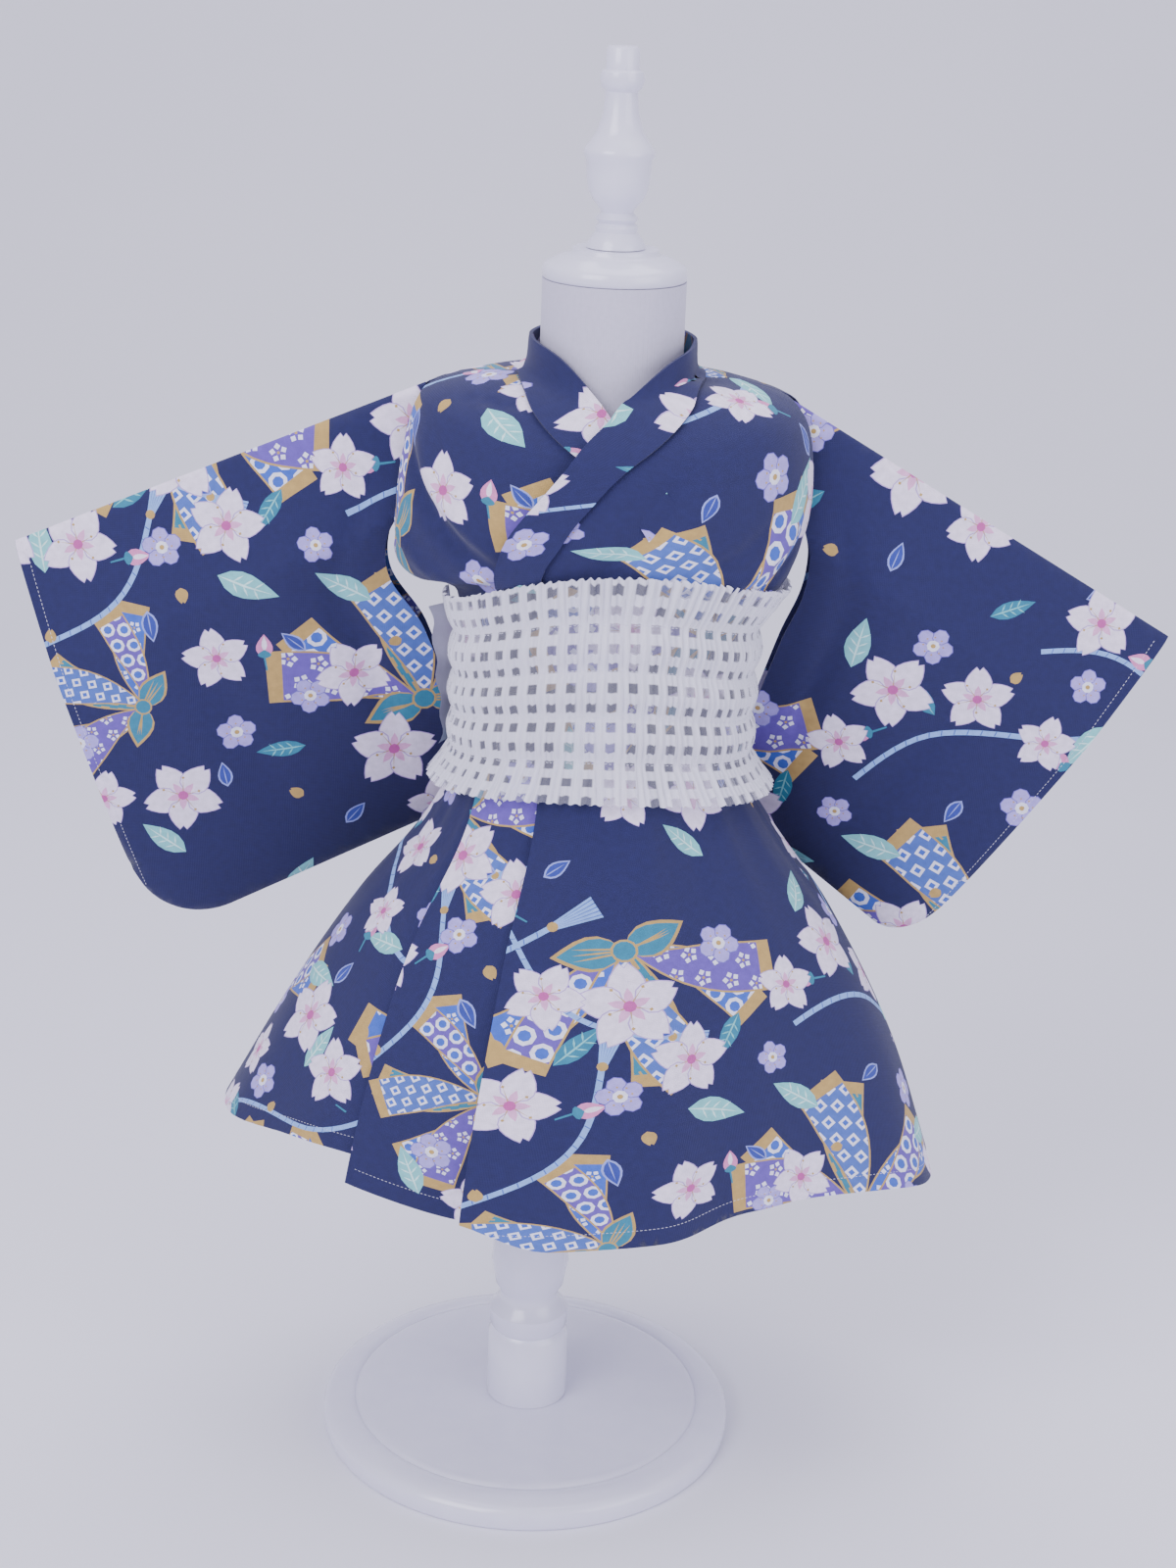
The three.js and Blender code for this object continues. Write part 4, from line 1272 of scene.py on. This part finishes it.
class YUKATA_OT_obi(bpy.types.Operator):
    """Shirrs the sheer front of the obi on its elastic rows and closes it with the plain back band"""

    bl_idname = "yukata.obi"
    bl_label = "Obi"

    def execute(self, context):
        at, t = np.meshgrid(np.linspace(-OBI_HALF, OBI_HALF, 520), np.linspace(0, 1, 84))
        points = lifted(obi, at, t, 0.8 + obi_pleats(at, t))
        points[..., 2] += 0.5 * (smooth(0.1, 0.0, t) - smooth(0.9, 1, t)) * np.sin(at * 1.9 + np.sin(at / 5))
        width = float(path_length(obi(np.linspace(-OBI_HALF, OBI_HALF, 200), np.full(200, 0.5)))[-1])
        length = float(path_length(obi(np.zeros(60), np.linspace(0, 1, 60)))[-1])
        flat = np.stack([at / (2 * OBI_HALF) * width * GATHER_RATIO, -t * length], -1)
        sheer = material_for("sheer windowpane voile", voile)
        piece = grid_mesh("obi_front_voile", points, False, sheer, ["obi_front"], flat)

        at, t = np.meshgrid(np.linspace(97.6, 262, 140), np.linspace(0.12, 0.88, 24))
        tab = 14 * smooth(250, 264, at) * (1 - 0.8 * t)
        points = lifted(obi, at, t, 1.0 + 0.25 * np.sin(at * 0.31 + 6 * t))
        points[..., 0] -= tab
        band = material_for("plain cotton band", lambda: plain_cloth("plain cotton band", "#CFCEE2", 0.9))
        piece = grid_mesh("obi_back_band", points, False, band, ["obi_back"])
        width = path_length(points[12])[-1]
        length = path_length(points[:, 70])[-1]
        return {"FINISHED"}


# ---------------------------------------------------------------- stitches
def stitch_tree():
    """Lays one small rounded stitch at each step of a path."""
    tree = bpy.data.node_groups.new("Stitches", "GeometryNodeTree")
    face = tree.interface
    face.new_socket("Geometry", in_out="INPUT", socket_type="NodeSocketGeometry")
    for name in ("Pitch", "Stitch Length", "Thread Radius"):
        face.new_socket(name, in_out="INPUT", socket_type="NodeSocketFloat")
    face.new_socket("Material", in_out="INPUT", socket_type="NodeSocketMaterial")
    face.new_socket("Geometry", in_out="OUTPUT", socket_type="NodeSocketGeometry")
    given = add(tree, "NodeGroupInput")
    path = add(tree, "GeometryNodeResampleCurve", {"Curve": given.outputs["Geometry"]}, mode="LENGTH")
    tree.links.new(given.outputs["Pitch"], path.inputs["Length"])
    tangent = add(tree, "GeometryNodeInputTangent")
    turn = add(tree, "FunctionNodeAlignRotationToVector", {"Vector": tangent.outputs[0]}, axis="X")
    ball = add(tree, "GeometryNodeMeshIcoSphere", {"Radius": 0.5, "Subdivisions": 1})
    size = add(tree, "ShaderNodeCombineXYZ", {0: given.outputs["Stitch Length"], 1: given.outputs["Thread Radius"],
                                              2: given.outputs["Thread Radius"]})
    stitches = add(tree, "GeometryNodeInstanceOnPoints", {"Points": path.outputs[0], "Instance": ball.outputs[0],
                                                          "Rotation": turn.outputs[0], "Scale": size.outputs[0]})
    real = add(tree, "GeometryNodeRealizeInstances", {0: stitches.outputs[0]})
    done = add(tree, "GeometryNodeSetMaterial", {"Geometry": real.outputs[0], "Material": given.outputs["Material"]})
    add(tree, "NodeGroupOutput", {0: done.outputs[0]})
    return tree


def sewn(name, paths, pitch, length, radius):
    """Sews along paths of points in mm, and returns the stitches as one piece."""
    curve = bpy.data.curves.new(name, "CURVE")
    curve.dimensions = "3D"
    for points in paths:
        spline = curve.splines.new("POLY")
        spline.points.add(len(points) - 1)
        places = np.concatenate([points * MM + (BODY_X * MM, 0, 0), np.ones((len(points), 1))], 1)
        spline.points.foreach_set("co", places.ravel())
    path = bpy.data.objects.new(name + "_path", curve)
    bpy.context.scene.collection.objects.link(path)
    tree = bpy.data.node_groups.get("Stitches") or stitch_tree()
    values = {"Pitch": pitch * MM, "Stitch Length": length * MM, "Thread Radius": 2 * radius * MM,
              "Material": material_for("white sewing thread", thread)}
    modifier = path.modifiers.new("Stitches", "NODES")
    modifier.node_group = tree
    for item in tree.interface.items_tree:
        if item.item_type == "SOCKET" and item.in_out == "INPUT" and item.name in values:
            modifier[item.identifier] = values[item.name]
    graph = bpy.context.evaluated_depsgraph_get()
    mesh = bpy.data.meshes.new_from_object(path.evaluated_get(graph), depsgraph=graph)
    if not mesh.polygons:
        raise RuntimeError(f"{name}: no stitches were made")
    mesh.name = name
    bpy.data.objects.remove(path)
    return finished(name, mesh)


class YUKATA_OT_stitches(bpy.types.Operator):
    """Sews the cuffs, the hems and the obi's elastic rows"""

    bl_idname = "yukata.stitches"
    bl_label = "Stitches"

    def execute(self, context):
        sizes = context.scene.yukata
        pitch, length = sizes.stitch_pitch / MM, sizes.stitch_pitch / MM * 0.72
        cuffs = []
        for shape in (SLEEVE_RIGHT, SLEEVE_LEFT):
            share = np.linspace(0.03, 0.97, 90)
            for face in (-1, 1):
                s = np.full(90, 1 - 4.5 / 200)
                fold = creases(FOLDS_SLEEVE, s, share, 200, 210) * np.sin(share * math.pi)
                cuffs.append(sleeve_point(shape, s, share, face, fold + 0.08))
        sewn("stitches_cuffs", cuffs, pitch, length, 0.16)

        back_at = np.linspace(66, 329, 300)
        right_at, left_at = np.linspace(-38, 9, 90), np.linspace(-12, 84, 160)
        up = 10 / SKIRT_DOWN[-1]
        hems = [
            (back_at, back_hem(back_at) - up, 0 * back_at, 0.9),
            (right_at, np.full(90, 0.965 - up), LAYER + 0 * right_at, 0.9),
            (left_at, np.full(160, 1 - up), left_front_lift(left_at, np.full(160, 1 - up)), FACE_TOP),
        ]
        paths = [lifted(skirt, at, t, lift + gathers(at, t) + top + 0.08) for at, t, lift, top in hems]
        sewn("stitches_hems", paths, pitch, length, 0.14)

        at = np.linspace(-OBI_HALF + 1, OBI_HALF - 1, 700)
        rows = []
        for row in ELASTIC_ROWS:
            t = np.full(700, row)
            rows.append(lifted(obi, at, t, 0.95 + obi_pleats(at, t)))
        sewn("stitches_elastic", rows, 2.4, 1.7, 0.2)
        return {"FINISHED"}


# ---------------------------------------------------------------- studio
PITCH, ROLL = math.radians(19.24), math.radians(2.2)
LENS = 60.2


class YUKATA_OT_stage(bpy.types.Operator):
    """Sets the pale floor, the soft lights and the camera"""

    bl_idname = "yukata.stage"
    bl_label = "Stage"

    def execute(self, context):
        scene = context.scene
        sizes = scene.yukata
        paper, tree = blank("matt studio paper")
        place = add(tree, "ShaderNodeTexCoord")
        cloud = add(tree, "ShaderNodeTexNoise", {"Vector": place.outputs["Object"], "Scale": 3.0})
        tone = add(tree, "ShaderNodeMix", {0: cloud.outputs[0], 6: linear("#E9E8F4"), 7: linear("#EEEDF7")},
                   data_type="RGBA")
        close(tree, add(tree, "ShaderNodeBsdfPrincipled", {"Base Color": tone.outputs[2], "Roughness": 0.9}))
        turn = np.linspace(0, math.pi / 2, 16)
        line = [(-3.0, 0.0)] + [(1.4 + math.sin(a), 1 - math.cos(a)) for a in turn] + [(2.4, 5.0)]
        rows = np.array([[(-5, y, z), (5, y, z)] for y, z in line])
        mesh = bpy.data.meshes.new("floor")
        faces = [(2 * k, 2 * k + 1, 2 * k + 3, 2 * k + 2) for k in range(len(line) - 1)]
        mesh.from_pydata(rows.reshape(-1, 3).tolist(), [], faces)
        mesh.shade_smooth()
        mesh.materials.append(paper)
        floor = bpy.data.objects.new("floor", mesh)
        scene.collection.objects.link(floor)

        aim = Vector((BODY_X * MM, 0, 0.38))
        for name, spot, size, power in (
            ("key", (-1.1, -1.5, 1.7), 1.3, 38),
            ("fill", (1.6, -1.2, 1.0), 1.5, 18),
            ("top", (0.1, 0.3, 2.2), 1.6, 24),
        ):
            lamp = bpy.data.lights.new(name, "AREA")
            lamp.size, lamp.energy = size, power
            lamp.color = sizes.light_colour
            light = bpy.data.objects.new(name, lamp)
            light.location = spot
            light.rotation_euler = (aim - Vector(spot)).to_track_quat("-Z", "Y").to_euler()
            scene.collection.objects.link(light)

        world = bpy.data.worlds.new("soft studio")
        world.use_nodes = True
        sky = world.node_tree.nodes["Background"]
        sky.inputs["Color"].default_value = linear("#E8E7F6")
        sky.inputs["Strength"].default_value = 0.95
        scene.world = world

        camera = bpy.data.cameras.new("camera")
        camera.lens, camera.sensor_width, camera.sensor_fit = LENS, 36, "AUTO"
        ahead = np.array([0, math.cos(PITCH), -math.sin(PITCH)])
        over = np.array([0, math.sin(PITCH), math.cos(PITCH)])
        right = np.array([1.0, 0, 0]) * math.cos(ROLL) + over * math.sin(ROLL)
        up = np.array([-1.0, 0, 0]) * math.sin(ROLL) + over * math.cos(ROLL)
        view = bpy.data.objects.new("camera", camera)
        turn = np.stack([right, up, -ahead], 1)
        view.rotation_euler = Matrix(turn.tolist()).to_euler()
        view.location = ((BODY_X - 5) * MM, -1.292, 0.831)
        scene.collection.objects.link(view)
        scene.camera = view
        return {"FINISHED"}


# ---------------------------------------------------------------- add-on
class YukataSizes(bpy.types.PropertyGroup):
    """What a user would change."""

    stitch_pitch: FloatProperty(name="Stitch Pitch", description="Length from one stitch to the next",
                                default=0.0022, unit="LENGTH")
    light_colour: FloatVectorProperty(name="Light Colour", description="Colour of the studio lights",
                                      default=linear("#F4F2FF")[:3], size=3, subtype="COLOR")


class YUKATA_PT_panel(bpy.types.Panel):
    """Lists the pieces"""

    bl_idname = "YUKATA_PT_panel"
    bl_label = "Yukata"
    bl_space_type = "VIEW_3D"
    bl_region_type = "UI"
    bl_category = "Yukata"

    def draw(self, context):
        for name in YukataSizes.__annotations__:
            self.layout.prop(context.scene.yukata, name)
        for kind in OPERATORS:
            self.layout.operator(kind.bl_idname)


OPERATORS = (YUKATA_OT_stage, YUKATA_OT_stand, YUKATA_OT_torso, YUKATA_OT_bodice, YUKATA_OT_collar,
             YUKATA_OT_sleeves, YUKATA_OT_skirt, YUKATA_OT_obi, YUKATA_OT_stitches)
CLASSES = (YukataSizes, *OPERATORS, YUKATA_PT_panel)


def register():
    for kind in CLASSES:
        bpy.utils.register_class(kind)
    bpy.types.Scene.yukata = PointerProperty(type=YukataSizes)


def unregister():
    del bpy.types.Scene.yukata
    for kind in reversed(CLASSES):
        bpy.utils.unregister_class(kind)


def main():
    register()
    for kind in OPERATORS:
        group, name = kind.bl_idname.split(".")
        getattr(getattr(bpy.ops, group), name)()


if __name__ == "__main__":
    main()
